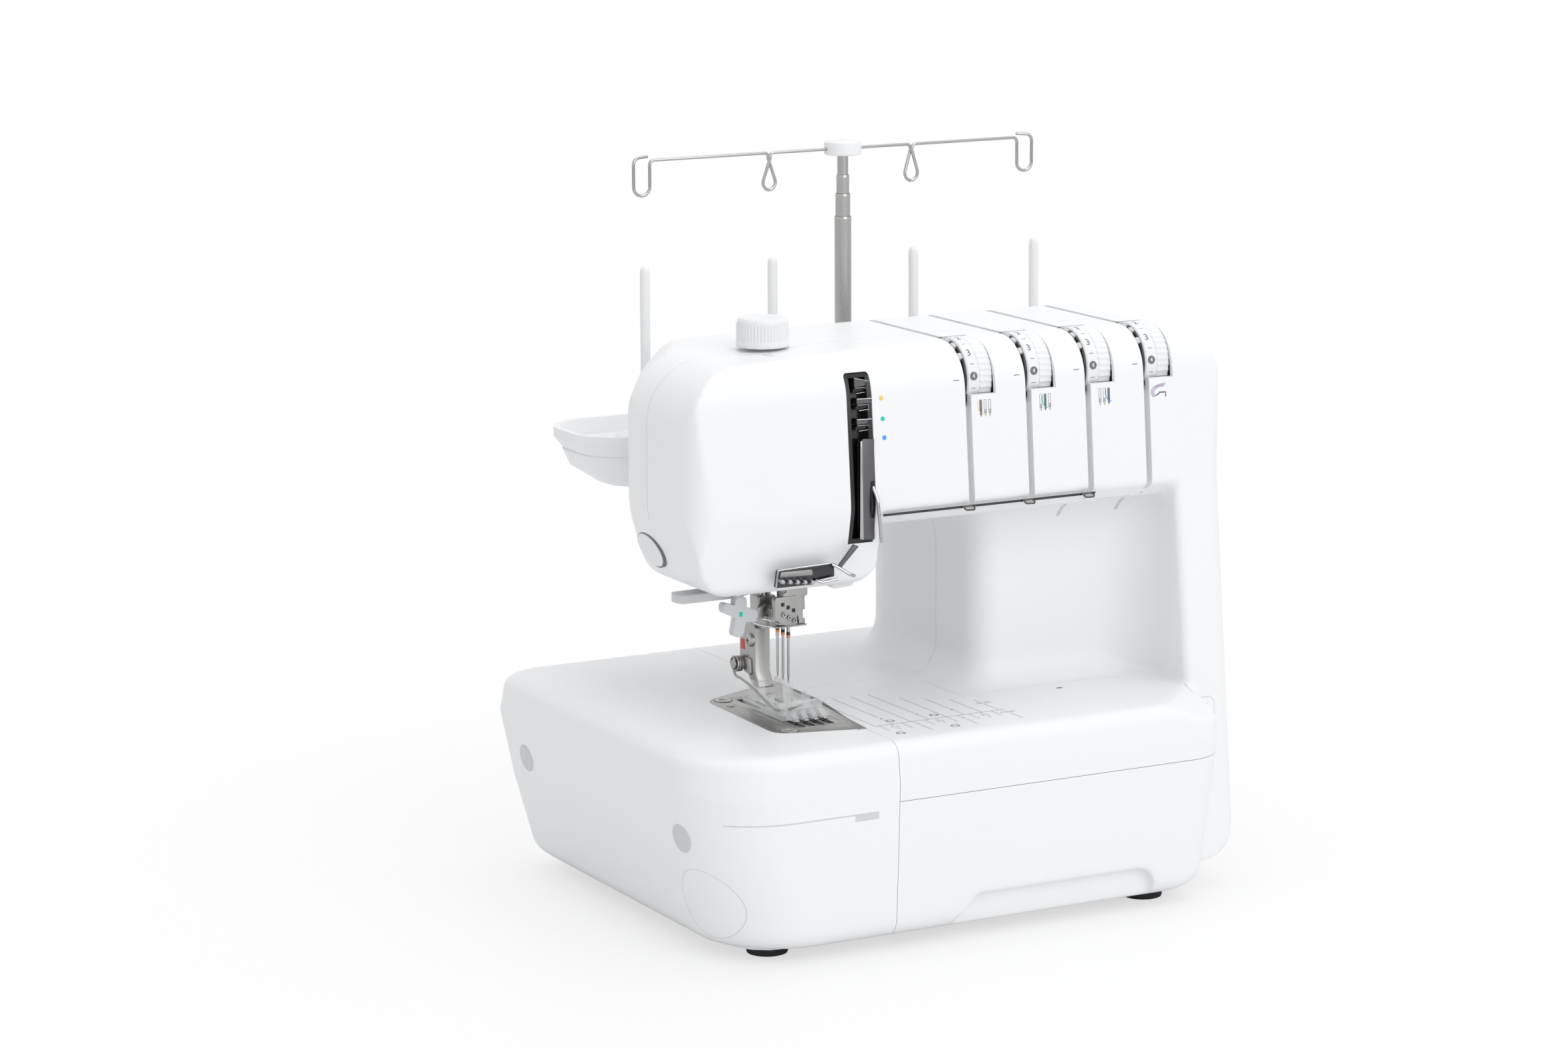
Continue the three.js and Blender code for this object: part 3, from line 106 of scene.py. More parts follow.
CHANNEL = {"left": -63.7, "right": -49.7, "bottom": 192, "top": 275}
MAIN_SHAFT = (14, 60)
SIDE_DIAL = {"z": 150, "stitch": -20, "feed": 46}
NEEDLE = {"x": -80, "y": -35, "pitch": 3, "step": 1.7}
FEED = {"pitch": 5.2, "slot": 3.4, "front": -70.5, "back": -2, "waist": 9}
FEED_ROWS = [NEEDLE["x"] + (n - 1.5) * FEED["pitch"] for n in range(4)]
SIDE_HOLES = {"inlet": (64.7, 91.3, 41.7, 62.3), "switch": (67.7, 88.3, 77.7, 90.3)}
LEVER_HOLE = (-101.5, -91.5, -31, -21)
STAND_Y = 71
MAST_X = 13.2
BAR = {"z": 366.8, "left": -98, "right": 118, "wire": 0.85, "cap": 9.6}
PINS = (-100.8, -28, 55, 128.1)

# ---------------------------------------------------------------- the stage, in metres and degrees
ROOM_WHITE = (0.97, 0.985, 1)
FLOOR_RADIUS = 9
LAMP_SIZE = 1.6
CAMERA = {"lens": 101.1, "place": (-1.0804, -1.8953, 0.6069), "turn": (79.0319, 0.2784, -28.3460)}


# ---------------------------------------------------------------- settings
class CasingSettings(bpy.types.PropertyGroup):
    wall: FloatProperty(name="Wall", description="Thickness of the moulded casing", default=2.4 * MM,
                        min=1 * MM, max=4 * MM, subtype="DISTANCE", unit="LENGTH")
    seam: FloatProperty(name="Seam", description="Gap between two covers", default=0.3 * MM,
                        min=0.1 * MM, max=1 * MM, subtype="DISTANCE", unit="LENGTH")
    fineness: FloatProperty(name="Fineness", description="Facet size of the moulded surface",
                            default=1.5 * MM, min=1 * MM, max=6 * MM, subtype="DISTANCE", unit="LENGTH")
    softness: IntProperty(name="Softness", description="How far moulded edges are rounded", default=5,
                          min=0, max=30)
    groove_width: FloatProperty(name="Groove width", description="Width of a thread groove",
                                default=3.3 * MM, min=1 * MM, max=6 * MM, subtype="DISTANCE", unit="LENGTH")
    groove_depth: FloatProperty(name="Groove depth", description="Depth of a thread groove", default=5 * MM,
                                min=1 * MM, max=8 * MM, subtype="DISTANCE", unit="LENGTH")


class FinishSettings(bpy.types.PropertyGroup):
    shell: FloatVectorProperty(name="Casing", description="Colour of the moulded casing",
                               default=(0.86, 0.865, 0.87), subtype="COLOR", min=0, max=1)
    trim: FloatVectorProperty(name="Trim", description="Colour of knobs, pins and dials",
                              default=(0.82, 0.825, 0.83), subtype="COLOR", min=0, max=1)
    # the grey colour also paints the shade strips down the arm below two grooves
    grey: FloatVectorProperty(name="Grey plastic", description="Colour of the lifter and the threader",
                              default=(0.62, 0.63, 0.64), subtype="COLOR", min=0, max=1)
    steel: FloatVectorProperty(name="Steel", description="Colour of brushed steel",
                               default=(0.40, 0.395, 0.385), subtype="COLOR", min=0, max=1)
    chrome: FloatVectorProperty(name="Chrome", description="Colour of polished steel",
                                default=(0.44, 0.44, 0.45), subtype="COLOR", min=0, max=1)
    # the dark colour is the mains socket's own, and also paints the shade on the dial faces and in the dial
    # slots
    dark: FloatVectorProperty(name="Dark plastic", description="Colour of slots and the mains socket",
                              default=(0.018, 0.018, 0.02), subtype="COLOR", min=0, max=1)
    # the print colour also paints the dark ring round the head's catch: partly its gap line, partly painted
    # shade
    print_grey: FloatVectorProperty(name="Print", description="Colour of printed marks",
                                    default=(0.16, 0.165, 0.175), subtype="COLOR", min=0, max=1)
    left_colour: FloatVectorProperty(name="First thread",
                                     description="Colour of the left needle's thread mark",
                                     default=(0.93, 0.62, 0.14), subtype="COLOR", min=0, max=1)
    middle_colour: FloatVectorProperty(name="Second thread",
                                       description="Colour of the middle needle's thread mark",
                                       default=(0.0, 0.60, 0.45), subtype="COLOR", min=0, max=1)
    right_colour: FloatVectorProperty(name="Third thread",
                                      description="Colour of the right needle's thread mark",
                                      default=(0.05, 0.36, 0.85), subtype="COLOR", min=0, max=1)


class StageSettings(bpy.types.PropertyGroup):
    key_power: FloatProperty(name="Key light", description="Power of the soft light from the front",
                             default=12.5, min=0, unit="POWER")
    top_power: FloatProperty(name="Top light", description="Power of the soft light overhead",
                             default=9.5, min=0, unit="POWER")
    fill: FloatProperty(name="Room light", description="Strength of the even light from all round",
                        default=0.76, min=0, max=2)


# ---------------------------------------------------------------- drawing helpers
def inset(corners, t):
    """Corners moved inwards by t, edges parallel; corners run anticlockwise as (u, v, radius)."""
    points = [Vector(c[:2]) for c in corners]
    moved = []
    for i, corner in enumerate(corners):
        before = (points[i] - points[i - 1]).normalized()
        after = (points[(i + 1) % len(points)] - points[i]).normalized()
        a, b = Vector((-before.y, before.x)), Vector((-after.y, after.x))
        place = points[i] + (a + b) * (t / (1 + a.dot(b)))
        radius = corner[2] if len(corner) > 2 else 0
        if radius:
            convex = before.x * after.y - before.y * after.x > 0
            radius = max(radius - t if convex else radius + t, 0.4)
        moved.append((place.x, place.y, radius))
    return moved


PLANES = {"x": lambda u, v: Vector((0, u, v)),
          "y": lambda u, v: Vector((u, 0, v)),
          "z": lambda u, v: Vector((u, v, 0))}
AXIS = {"x": Vector((1, 0, 0)), "y": Vector((0, 1, 0)), "z": Vector((0, 0, 1))}


def sheet(axis, corners, at, segments=8):
    """A flat face across an axis, its corners rounded to their radii."""
    bm = bmesh.new()
    place = PLANES[axis]
    verts = [bm.verts.new(place(c[0], c[1]) + AXIS[axis] * at) for c in corners]
    bm.faces.new(verts)
    points = [v.co.copy() for v in verts]
    for i, vert in enumerate(verts):
        radius = corners[i][2] if len(corners[i]) > 2 else 0
        if not radius:
            continue
        back = (points[i - 1] - points[i]).normalized()
        on = (points[(i + 1) % len(points)] - points[i]).normalized()
        reach = radius / math.tan(back.angle(on) / 2)
        bmesh.ops.bevel(bm, geom=[vert], offset=reach, offset_type="OFFSET", affect="VERTICES",
                        segments=segments, profile=0.5, material=-1, clamp_overlap=False)
    return bm


def pull(bm, step):
    """Extrudes the only face along a vector and returns the new end face."""
    made = bmesh.ops.extrude_face_region(bm, geom=bm.faces[:])
    end = [g for g in made["geom"] if isinstance(g, bmesh.types.BMFace)]
    bmesh.ops.translate(bm, vec=step, verts=end[0].verts[:])
    return end[0]


def prism(axis, corners, start, end, segments=8):
    """A straight-sided solid across an axis, from start to end."""
    bm = sheet(axis, corners, start, segments)
    pull(bm, AXIS[axis] * (end - start))
    return bm


def block(x0, x1, y0, y1, z0, z1):
    """A working box between two places on each axis."""
    bm = bmesh.new()
    bmesh.ops.create_cube(bm, size=1)
    bmesh.ops.scale(bm, vec=(x1 - x0, y1 - y0, z1 - z0), verts=bm.verts[:])
    bmesh.ops.translate(bm, vec=((x0 + x1) / 2, (y0 + y1) / 2, (z0 + z1) / 2), verts=bm.verts[:])
    return bm


def turn(bm, angle, axis):
    """Turns a form about one of the world's axes, in radians."""
    bmesh.ops.rotate(bm, matrix=Matrix.Rotation(angle, 3, axis), verts=bm.verts[:])
    return bm


def aim(bm, along, place):
    """Turns a form that is drawn upwards to point along a direction, then puts it in place."""
    bmesh.ops.rotate(bm, matrix=UP.rotation_difference(along).to_matrix(), verts=bm.verts[:])
    bmesh.ops.translate(bm, vec=place, verts=bm.verts[:])
    return bm


def rod(axis, centre, radius, length, segments=48):
    """A round rod that starts at centre and runs along an axis."""
    bm = bmesh.new()
    bmesh.ops.create_cone(bm, cap_ends=True, segments=segments, radius1=radius, radius2=radius,
                          depth=length)
    bmesh.ops.translate(bm, vec=(0, 0, length / 2), verts=bm.verts[:])
    return aim(bm, AXIS[axis], centre)


def fit(before, after):
    """The move that takes one level rectangle to another; each is z, left, right, front, back."""
    z0, l0, r0, f0, b0 = before
    z1, l1, r1, f1, b1 = after
    along, across = (r1 - l1) / (r0 - l0), (b1 - f1) / (b0 - f0)
    return Matrix(((along, 0, 0, l1 - l0 * along), (0, across, 0, f1 - f0 * across), (0, 0, 1, z1 - z0),
                   (0, 0, 0, 1)))


def loft(radii, levels, segments=8):
    """A solid drawn up through level rectangles whose four corners are rounded."""
    z, left, right, front, back = levels[0]
    spots = ((left, front), (right, front), (right, back), (left, back))
    bm = sheet("z", [(u, v, r) for (u, v), r in zip(spots, radii)], z, segments)
    top = bm.faces[:]
    for step, (before, after) in enumerate(zip(levels, levels[1:])):
        made = bmesh.ops.extrude_face_region(bm, geom=top)
        if step:
            bmesh.ops.delete(bm, geom=top, context="FACES_ONLY")
        top = [g for g in made["geom"] if isinstance(g, bmesh.types.BMFace)]
        bmesh.ops.transform(bm, matrix=fit(before, after), verts=top[0].verts[:])
    return bm


def arc(count):
    """The angles of a quarter turn, in equal steps."""
    return [math.pi / 2 * k / count for k in range(count + 1)]


def lathe(profile, centre=(0, 0, 0), axis="z", segments=48, ring=False):
    """A turned form; profile is (radius, along) from end to end, or all round a ring."""
    bm = bmesh.new()
    verts = [bm.verts.new((radius, 0, along)) for radius, along in profile]
    for pair in zip(verts, verts[1:] + (verts[:1] if ring else [])):
        bm.edges.new(pair)
    bmesh.ops.spin(bm, geom=bm.verts[:] + bm.edges[:], cent=(0, 0, 0), axis=UP, angle=2 * math.pi,
                   steps=segments, use_merge=True)
    bmesh.ops.remove_doubles(bm, verts=bm.verts[:], dist=1e-4)
    bmesh.ops.recalc_face_normals(bm, faces=bm.faces[:])
    return aim(bm, AXIS[axis], centre)


def gather(*forms):
    """Several forms as one, each kept whole."""
    whole = bmesh.new()
    for bm in forms:
        bmesh.ops.recalc_face_normals(bm, faces=bm.faces[:])
        mesh = bpy.data.meshes.new("form")
        bm.to_mesh(mesh)
        bm.free()
        whole.from_mesh(mesh)
        bpy.data.meshes.remove(mesh)
    return whole


def soften(bm, width, segments=2, sharp=30):
    """Rounds the edges past an angle."""
    edges = [e for e in bm.edges if len(e.link_faces) == 2 and e.calc_face_angle() > math.radians(sharp)]
    bmesh.ops.bevel(bm, geom=edges, offset=width, offset_type="OFFSET", affect="EDGES", segments=segments,
                    profile=0.5, material=-1, clamp_overlap=True)
    return bm


def drawn(curve):
    """A curve or a word as a form."""
    holder = bpy.data.objects.new("form", curve)
    bpy.context.scene.collection.objects.link(holder)
    mesh = bpy.data.meshes.new_from_object(holder.evaluated_get(bpy.context.evaluated_depsgraph_get()))
    bpy.data.objects.remove(holder)
    bpy.data.curves.remove(curve)
    bm = bmesh.new()
    bm.from_mesh(mesh)
    bpy.data.meshes.remove(mesh)
    bmesh.ops.remove_doubles(bm, verts=bm.verts[:], dist=1e-5)
    return bm


def bent(points, steps=6):
    """The line of a wire bent at its corners; each point is (place, bend radius)."""
    spots = [Vector(place) for place, _ in points]
    line = [spots[0]]
    for k in range(1, len(spots) - 1):
        back, on = (spots[k - 1] - spots[k]).normalized(), (spots[k + 1] - spots[k]).normalized()
        half, radius = back.angle(on) / 2, points[k][1]
        centre = spots[k] + (back + on).normalized() * (radius / math.sin(half))
        start = spots[k] + back * (radius / math.tan(half)) - centre
        sweep = start.rotation_difference(spots[k] + on * (radius / math.tan(half)) - centre)
        line += [centre + Quaternion(sweep.axis, sweep.angle * s / steps) @ start for s in range(steps + 1)]
    return line + [spots[-1]]


def wire(points, radius, closed=False, smooth=False, around=2):
    """A round wire through points."""
    curve = bpy.data.curves.new("wire", "CURVE")
    curve.dimensions = "3D"
    curve.bevel_depth, curve.bevel_resolution, curve.use_fill_caps = radius, around, True
    curve.resolution_u = 8
    line = curve.splines.new("BEZIER" if smooth else "POLY")
    if smooth:
        line.bezier_points.add(len(points) - 1)
        for spot, place in zip(line.bezier_points, points):
            spot.co = place
            spot.handle_left_type = spot.handle_right_type = "AUTO"
    else:
        line.points.add(len(points) - 1)
        for spot, place in zip(line.points, points):
            spot.co = (*place, 1)
    line.use_cyclic_u = closed
    return drawn(curve)


def letters(body, size, thick=0.3):
    """A word in the level plane, facing up, its middle at the origin."""
    word = bpy.data.curves.new("letters", "FONT")
    word.body, word.size, word.extrude, word.resolution_u = body, size, thick / 2, 3
    word.align_x = word.align_y = "CENTER"
    return drawn(word)


def stroke(points, width, closed=False, smooth=False):
    """A thin printed line in the level plane, with a joint every 2 mm so that it can follow a surface."""
    ends = points[1:] + (points[:1] if closed else [])
    steps = [(Vector(a), Vector(b), 1 if smooth else max(round((Vector(b) - Vector(a)).length / 2), 1))
             for a, b in zip(points, ends)]
    run = [a.lerp(b, n / count) for a, b, count in steps for n in range(count)]
    bm = wire([(*place, 0) for place in run + ([] if closed else [Vector(points[-1])])], width / 2, closed,
              smooth, 1)
    bmesh.ops.scale(bm, vec=(1, 1, 0.2 / width), verts=bm.verts[:])
    return bm


def spot(u, v, radius, thick=0.3, segments=32):
    """A flat round mark in the level plane."""
    return rod("z", (u, v, -thick / 2), radius, thick, segments)


def upright(bm):
    """Stands a level drawing up, facing the front."""
    return turn(bm, math.pi / 2, "X")


def shift(bm, x=0, y=0, z=0):
    """Moves a form."""
    bmesh.ops.translate(bm, vec=(x, y, z), verts=bm.verts[:])
    return bm


def wrap(bm, radius, angle, lift=0.0):
    """Rolls a level drawing round a drum that lies along X; angle is up from the front."""
    for vert in bm.verts:
        along, out = angle + vert.co.y / radius, radius + vert.co.z + lift
        vert.co = (vert.co.x, -out * math.cos(along), out * math.sin(along))
    return bm


def lay(bm, skin, towards):
    """Drops a flat drawing onto a surface, keeping its thickness."""
    for vert in bm.verts:
        depth = vert.co.dot(towards)
        place = skin.ray_cast((vert.co - towards * (depth + FAR)) * MM, towards)[0]
        if place is None:
            raise RuntimeError("a mark missed its surface")
        vert.co = place / MM + towards * depth
    return bm


def skin_of(name):
    """The surface of a finished piece, to lay marks on."""
    return BVHTree.FromObject(bpy.data.objects[name], bpy.context.evaluated_depsgraph_get())


# ---------------------------------------------------------------- joining and cutting
def solid(bm):
    """A working form, in millimetres, that other forms join or cut."""
    bmesh.ops.recalc_face_normals(bm, faces=bm.faces[:])
    mesh = bpy.data.meshes.new("form")
    bm.to_mesh(mesh)
    bm.free()
    made = bpy.data.objects.new("form", mesh)
    bpy.context.scene.collection.objects.link(made)
    return made


def settle(made):
    """Turns a form's modifiers into its mesh."""
    graph = bpy.context.evaluated_depsgraph_get()
    mesh = bpy.data.meshes.new_from_object(made.evaluated_get(graph))
    made.modifiers.clear()
    old, made.data = made.data, mesh
    bpy.data.meshes.remove(old)
    return made


def discard(*forms):
    """Deletes working forms."""
    for form in forms:
        mesh = form.data
        bpy.data.objects.remove(form)
        bpy.data.meshes.remove(mesh)


def combine(made, other, operation):
    """Joins, cuts or crosses a form with another; the other one is used up."""
    tool = other if isinstance(other, bpy.types.Object) else solid(other)
    change = made.modifiers.new("Combine", "BOOLEAN")
    change.operation = operation
    change.solver = "MANIFOLD"
    change.object = tool
    before = len(made.data.vertices), sum(v.co.length for v in made.data.vertices)
    settle(made)
    if not made.data.polygons or before == (len(made.data.vertices),
                                            sum(v.co.length for v in made.data.vertices)):
        raise RuntimeError("two forms did not combine: " + operation)
    discard(tool)
    return made


def join(made, *others):
    """One form with others added to it."""
    for other in others:
        combine(made, other, "UNION")
    return made


def cut(made, *others):
    """One form with others taken out of it."""
    for other in others:
        combine(made, other, "DIFFERENCE")
    return made


def cross(made, *others):
    """The part of a form that lies inside others."""
    for other in others:
        combine(made, other, "INTERSECT")
    return made


def twin(made):
    """A second copy of a working form."""
    other = made.copy()
    other.data = made.data.copy()
    bpy.context.scene.collection.objects.link(other)
    return other


def shade(mesh, sharp=38):
    """Smooth shading that keeps the edges past an angle sharp."""
    bm = bmesh.new()
    bm.from_mesh(mesh)
    limit = math.radians(sharp)
    for face_shade in bm.faces:
        face_shade.smooth = True
    for edge in bm.edges:
        edge.smooth = len(edge.link_faces) == 2 and edge.calc_face_angle() < limit
    bm.to_mesh(mesh)
    bm.free()


def finish_piece(source, name, body, material, sharp=38, nodes=()):
    """Makes a shown piece, in metres, from a form or a bmesh drawn in millimetres."""
    made = source if isinstance(source, bpy.types.Object) else solid(source)
    made.name = made.data.name = name
    made.data.transform(Matrix.Scale(MM, 4))
    shade(made.data, sharp)
    made.data.materials.clear()
    made.data.materials.append(material)
    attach(made, body)
    if nodes:
        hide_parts(*nodes)
    return made


# ---------------------------------------------------------------- casing forms, t inside the outer skin
def base_form(t, left=BASE["left"], right=BASE["right"], front=BASE["front"]):
    """The base: sides that lean in below the kink, over a rounded foot, under a rounded bed edge."""
    floor, radius = GROUND + t, BASE_FOOT - t

    def level(z, low, top, tuck):
        draw = {s: low * BASE_LEAN[s] + top * BASE_ROUND[s] + tuck + t for s in BASE_LEAN}
        return (z, left + draw["left"], right - draw["right"], front + draw["front"],
                BASE["back"] - draw["back"])

    def lean_at(z):
        return (KINK - z) / (KINK - GROUND)

    levels = [level(-1, 1, 0, radius)] if t else []
    for a in arc(6):
        z = floor + radius * (1 - math.cos(a))
        levels.append(level(z, lean_at(z), 0, radius * (1 - math.sin(a))))
    middle = (KINK + GROUND + BASE_FOOT) / 2
    levels += [level(middle, lean_at(middle) * 0.85, 0, 0), level(KINK, 0, 0, 0)]
    for a in arc(8):
        z = SHOULDER + (BED - t - SHOULDER) * math.sin(a)
        levels.append(level(z, 0, BED_RISE + (1 - BED_RISE) * (1 - math.cos(a)), 0))
    return solid(loft([max(r - 0.7 * t, 4) for r in BASE_CORNERS], levels, 10))


def rear_base(t):
    """The base's narrow rear right part, behind the leg."""
    return base_form(t, left=0.0, right=COLUMN["right"] - 0.4, front=-50.0)


def notch_form(t):
    """The hand hold under the looper cover."""
    outline = [(NOTCH["left"], -FAR), (NOTCH["right"], -FAR), (NOTCH["right"], NOTCH["top"], 10),
               (NOTCH["left"] + NOTCH["slope"], NOTCH["top"], 8), (NOTCH["left"], GROUND + 3, 4)]
    return prism("y", inset(outline, -t), -FAR, BASE["front"] + NOTCH["deep"] + t)


def scoop_form(t):
    """The bed's sloping right front corner."""
    right = BASE["right"]
    a, b, c = Vector((96, -112, BED)), Vector((right, -112, 91)), Vector((right, -84, 102.5))
    normal = (b - a).cross(c - a).normalized()
    bm = block(-FAR / 2, FAR / 2, -FAR / 2, FAR / 2, -t, FAR - t)
    return cross(solid(aim(bm, normal, b)), block(88 - t, right + 2, -FAR, -60, KINK - 5, FAR))


def side_form(t):
    """The right wall's outline, seen from the front."""
    outline = [(-FAR, LEG["bottom"]), (COLUMN["right"], LEG["bottom"], LEG["corner"]),
               (HEAD["right"], HEAD["top"]), (HEAD["right"], FAR), (-FAR, FAR)]
    return prism("y", inset(outline, t), -FAR, FAR, 10)


def column_form(t):
    """The column at the back, which flares at its foot and under the arm."""
    foot, crown = {"left": 16, "front": 12, "rise": 16}, {"left": 18, "front": 20, "rise": 28}

    def level(z, left, front):
        return (z, COLUMN["left"] - left + t, HEAD["right"], COLUMN["recess"] - front + t,
                COLUMN["back"] - t)

    levels = [level(BED - 7 - t, foot["left"], foot["front"])]
    for a in arc(6):
        s = 1 - math.sin(a)
        levels.append(level(BED + foot["rise"] * (1 - math.cos(a)), foot["left"] * s, foot["front"] * s))
    for a in arc(6):
        s = 1 - math.cos(a)
        levels.append(level(ARM["bottom"] - crown["rise"] * (1 - math.sin(a)), crown["left"] * s,
                            crown["front"] * s))
    levels += [level(ARM["bottom"] + 2, 0, 0), level(COLUMN["top"] - t, 0, 0)]
    crest = prism("x", inset([(-FAR, 0), (COLUMN["back"], 0), (COLUMN["back"], COLUMN["top"], 9),
                              (-FAR, COLUMN["top"])], t), 0, FAR)
    return cross(solid(loft((16, 3, 8, 52), levels, 10)), crest, side_form(t))


def leg_form(t):
    """The right leg, whose front leans out towards the bed."""
    def level(z):
        rise = (z - LEG["bottom"]) / (ARM["lip"] - LEG["bottom"])
        flare, height = HEAD["right"] - COLUMN["right"], z - LEG["bottom"]
        right = COLUMN["right"] + flare * height / (HEAD["top"] - LEG["bottom"])
        front = LEG["front"] - LEG["lean"] * (1 - rise)
        return (z, LEG["left"] + t, right - t, front + t, COLUMN["back"] - t)

    return cross(solid(loft((4, max(LEG["round"] - t, 1), 0, 0),
                            [level(LEG["bottom"] + t), level(ARM["lip"] + 2 - t)])), side_form(t))


def cove_form(t):
    """The hollow corner between the column and the leg."""
    reach, over = 24, 3 + t
    low, high = BED - (10 if t else 7), ARM["bottom"] + (4 if t else 2)
    made = solid(block(LEG["left"] - reach, LEG["left"] + over + t, COLUMN["recess"] - reach,
                       COLUMN["recess"] + over + t, low, high))
    return cut(made, rod("z", (LEG["left"] - reach, COLUMN["recess"] - reach, 0), reach + t, FAR, 72))


def head_form(t):
    """The head: the needle head on the left and the arm on the right."""
    head = HEAD
    front = inset([(ARM["diagonal"], head["bottom"], 6), (ARM["start"], ARM["bottom"], 10),
                   (head["right"], ARM["bottom"]), (head["right"], head["top"], head["shoulder"]),
                   (head["crown"], head["top"], 200), (head["left"], head["top"] - head["drop"], 30),
                   (head["left"], head["crease"], 30), (head["left"] + 9, head["bottom"], 20)], t)
    plan = inset([(head["left"], head["front"], 15), (head["right"], head["front"], 15),
                  (head["right"], head["back"], 12), (head["left"], head["back"], 57)], t)
    over = [(head["back"], head["top"], 12), (head["front"] + head["lean"], head["top"], head["brow"])]
    needle_side = inset([(head["front"] + 8, head["bottom"], 7), (head["back"], head["bottom"], 10), *over,
                         (head["front"], head["crease"], 20)], t)
    arm_side = inset([(head["front"] + 12, ARM["bottom"], 8), (head["back"], ARM["bottom"], 8), *over,
                      (head["front"], ARM["lip"], 2)], t)
    meet = (ARM["start"] + ARM["diagonal"]) / 2 - 6 - t
    sides = join(solid(prism("x", needle_side, -FAR, meet)), prism("x", arm_side, meet - 1, FAR))
    return cross(solid(prism("y", front, -FAR, FAR, 12)), prism("z", plan, 0, FAR, 16), sides,
                 corner_form(t))


def corner_form(t):
    """The slanting cut that rounds the head's left rear corner."""
    heading = math.radians(30)
    across = (HEAD["left"] + 57) * math.cos(heading) - (HEAD["back"] - 57) * math.sin(heading) - 57
    outline = inset([(across + 11, HEAD["bottom"], 16), (FAR, HEAD["bottom"]), (FAR, HEAD["top"] + 1),
                     (across, HEAD["top"] + 1, 36), (across, HEAD["crease"], 24)], t)
    return turn(prism("y", outline, -FAR, FAR, 12), -heading, "Z")


def groove_form(t, width, depth):
    """The four thread grooves that run over the arm."""
    core = inset([(HEAD["front"] + 12, 0), (HEAD["back"] + 20, 0), (HEAD["back"] + 20, HEAD["top"]),
                  (HEAD["front"] + HEAD["lean"], HEAD["top"], HEAD["brow"]), (HEAD["front"], ARM["lip"])],
                 depth + t)
    band = cut(solid(block(-FAR, FAR, -FAR, HEAD["back"] - 4 + t, ARM["lip"] - 6 - t, FAR)),
               prism("x", core, -FAR, FAR))
    half = width / 2 + t
    rails = solid(block(DIALS_X[0] - half, DIALS_X[0] + half, -FAR, FAR, 0, FAR))
    for x in DIALS_X[1:]:
        join(rails, block(x - half, x + half, -FAR, FAR, 0, FAR))
    return cross(band, rails)


def casing(t, groove_width, groove_depth):
    """The whole casing, t inside its outer skin; the inner one keeps clear of the grooves."""
    made = cut(base_form(t), notch_form(t), scoop_form(t))
    join(made, rear_base(t), column_form(t), leg_form(t), cove_form(t))
    head = head_form(t)
    if t:
        cut(head, groove_form(t, groove_width, groove_depth))
    return join(made, head)


def openings():
    """Everything that is cut through the casing, as one form."""
    under, out = HEAD["bottom"] - 9, 140
    made = solid(rod("z", (*NEEDLE_BAR, under), 4.5, 20, 32))
    others = [rod("z", (*PRESSER_BAR, under), 4.3, 20, 32),
              rod("z", (*PRESSER_BAR, HEAD["top"] - 8), 4.6, 20, 32),
              rod("z", (*THREADER, under), 2.8, 20, 24), block(*LEVER_HOLE, under, under + 18),
              rod("x", (out, *MAIN_SHAFT), 6, 30, 32)]
    others += [rod("x", (out, SIDE_DIAL[dial], SIDE_DIAL["z"]), 4, 30, 24) for dial in ("stitch", "feed")]
    others += [block(out - 10, out + 30, *hole) for hole in SIDE_HOLES.values()]
    others += [prism("y", [(CHANNEL["left"], CHANNEL["bottom"]), (CHANNEL["right"], CHANNEL["bottom"]),
                           (CHANNEL["right"], CHANNEL["top"], 2), (CHANNEL["left"], CHANNEL["top"], 2)],
                     -FAR, HEAD["front"] + 20)]
    for x in DIALS_X:
        side, far = 1.65, x + DIAL["offset"] + DIAL["width"] + 0.3
        others += [block(x - side, far, -FAR, DIAL["back"], DIAL["sill"], FAR),
                   block(x - side, x + side, -FAR, DIAL["back"], DIAL["slot"], FAR),
                   rod("x", (x + side, DIAL["y"], DIAL["z"]), DIAL["radius"] + 0.7, far - x - side, 96)]
    return join(made, *others)


def plate_outline(grow):
    """The stitch plate's outline, grown by a gap."""
    p = PLATE
    return inset([(p["backLeft"], p["backStep"], 10), (p["left"], p["frontStep"], 9),
                  (p["right"], p["front"]), (p["waist"], p["waistY"]), (p["rightBack"], p["back"])], -grow)


def left_region(g):
    """The room of the left cover, grown by a gap, as are the three below."""
    outline = [(-FAR, -FAR), (LEFT_SEAM["front"], -FAR), (LEFT_SEAM["front"], LEFT_SEAM["turn"]),
               (LEFT_SEAM["back"], BED_SEAM), (LEFT_SEAM["back"], FAR), (-FAR, FAR)]
    return prism("z", inset(outline, -g), -FAR, BED + 20)


def door_region(g):
    """The room of the looper cover."""
    return block(LEFT_SEAM["front"] - FAR, BASE["right"] + 1 + g, -FAR, DOOR_BACK + g, -FAR, DOOR_TOP + g)


def bed_region(g):
    """The room of the bed cover."""
    outline = [(-FAR, -FAR), (BASE["right"] + 1, -FAR), (BASE["right"] + 1, LEG["step"]),
               (LEG["left"] - 0.3, LEG["step"]), (LEG["left"] - 0.3, LEG["step"] + 16),
               (LEG["left"] - 26, COLUMN["recess"] - 13), (COLUMN["left"] - 17, COLUMN["recess"] - 13),
               (COLUMN["left"] - 17, BED_SEAM + 20, 8), (-19, BED_SEAM, 20), (-FAR, BED_SEAM)]
    return prism("z", inset(outline, -g), DOOR_TOP - g, BED + 0.5)


def front_region(g):
    """The room of the front casing."""
    return join(solid(block(-FAR, FAR, -FAR, HEAD_SEAM + g, BED + 50, FAR)),
                block(-FAR, FAR, -FAR, COLUMN_SEAM + g, -FAR, ARM["bottom"] + 6))


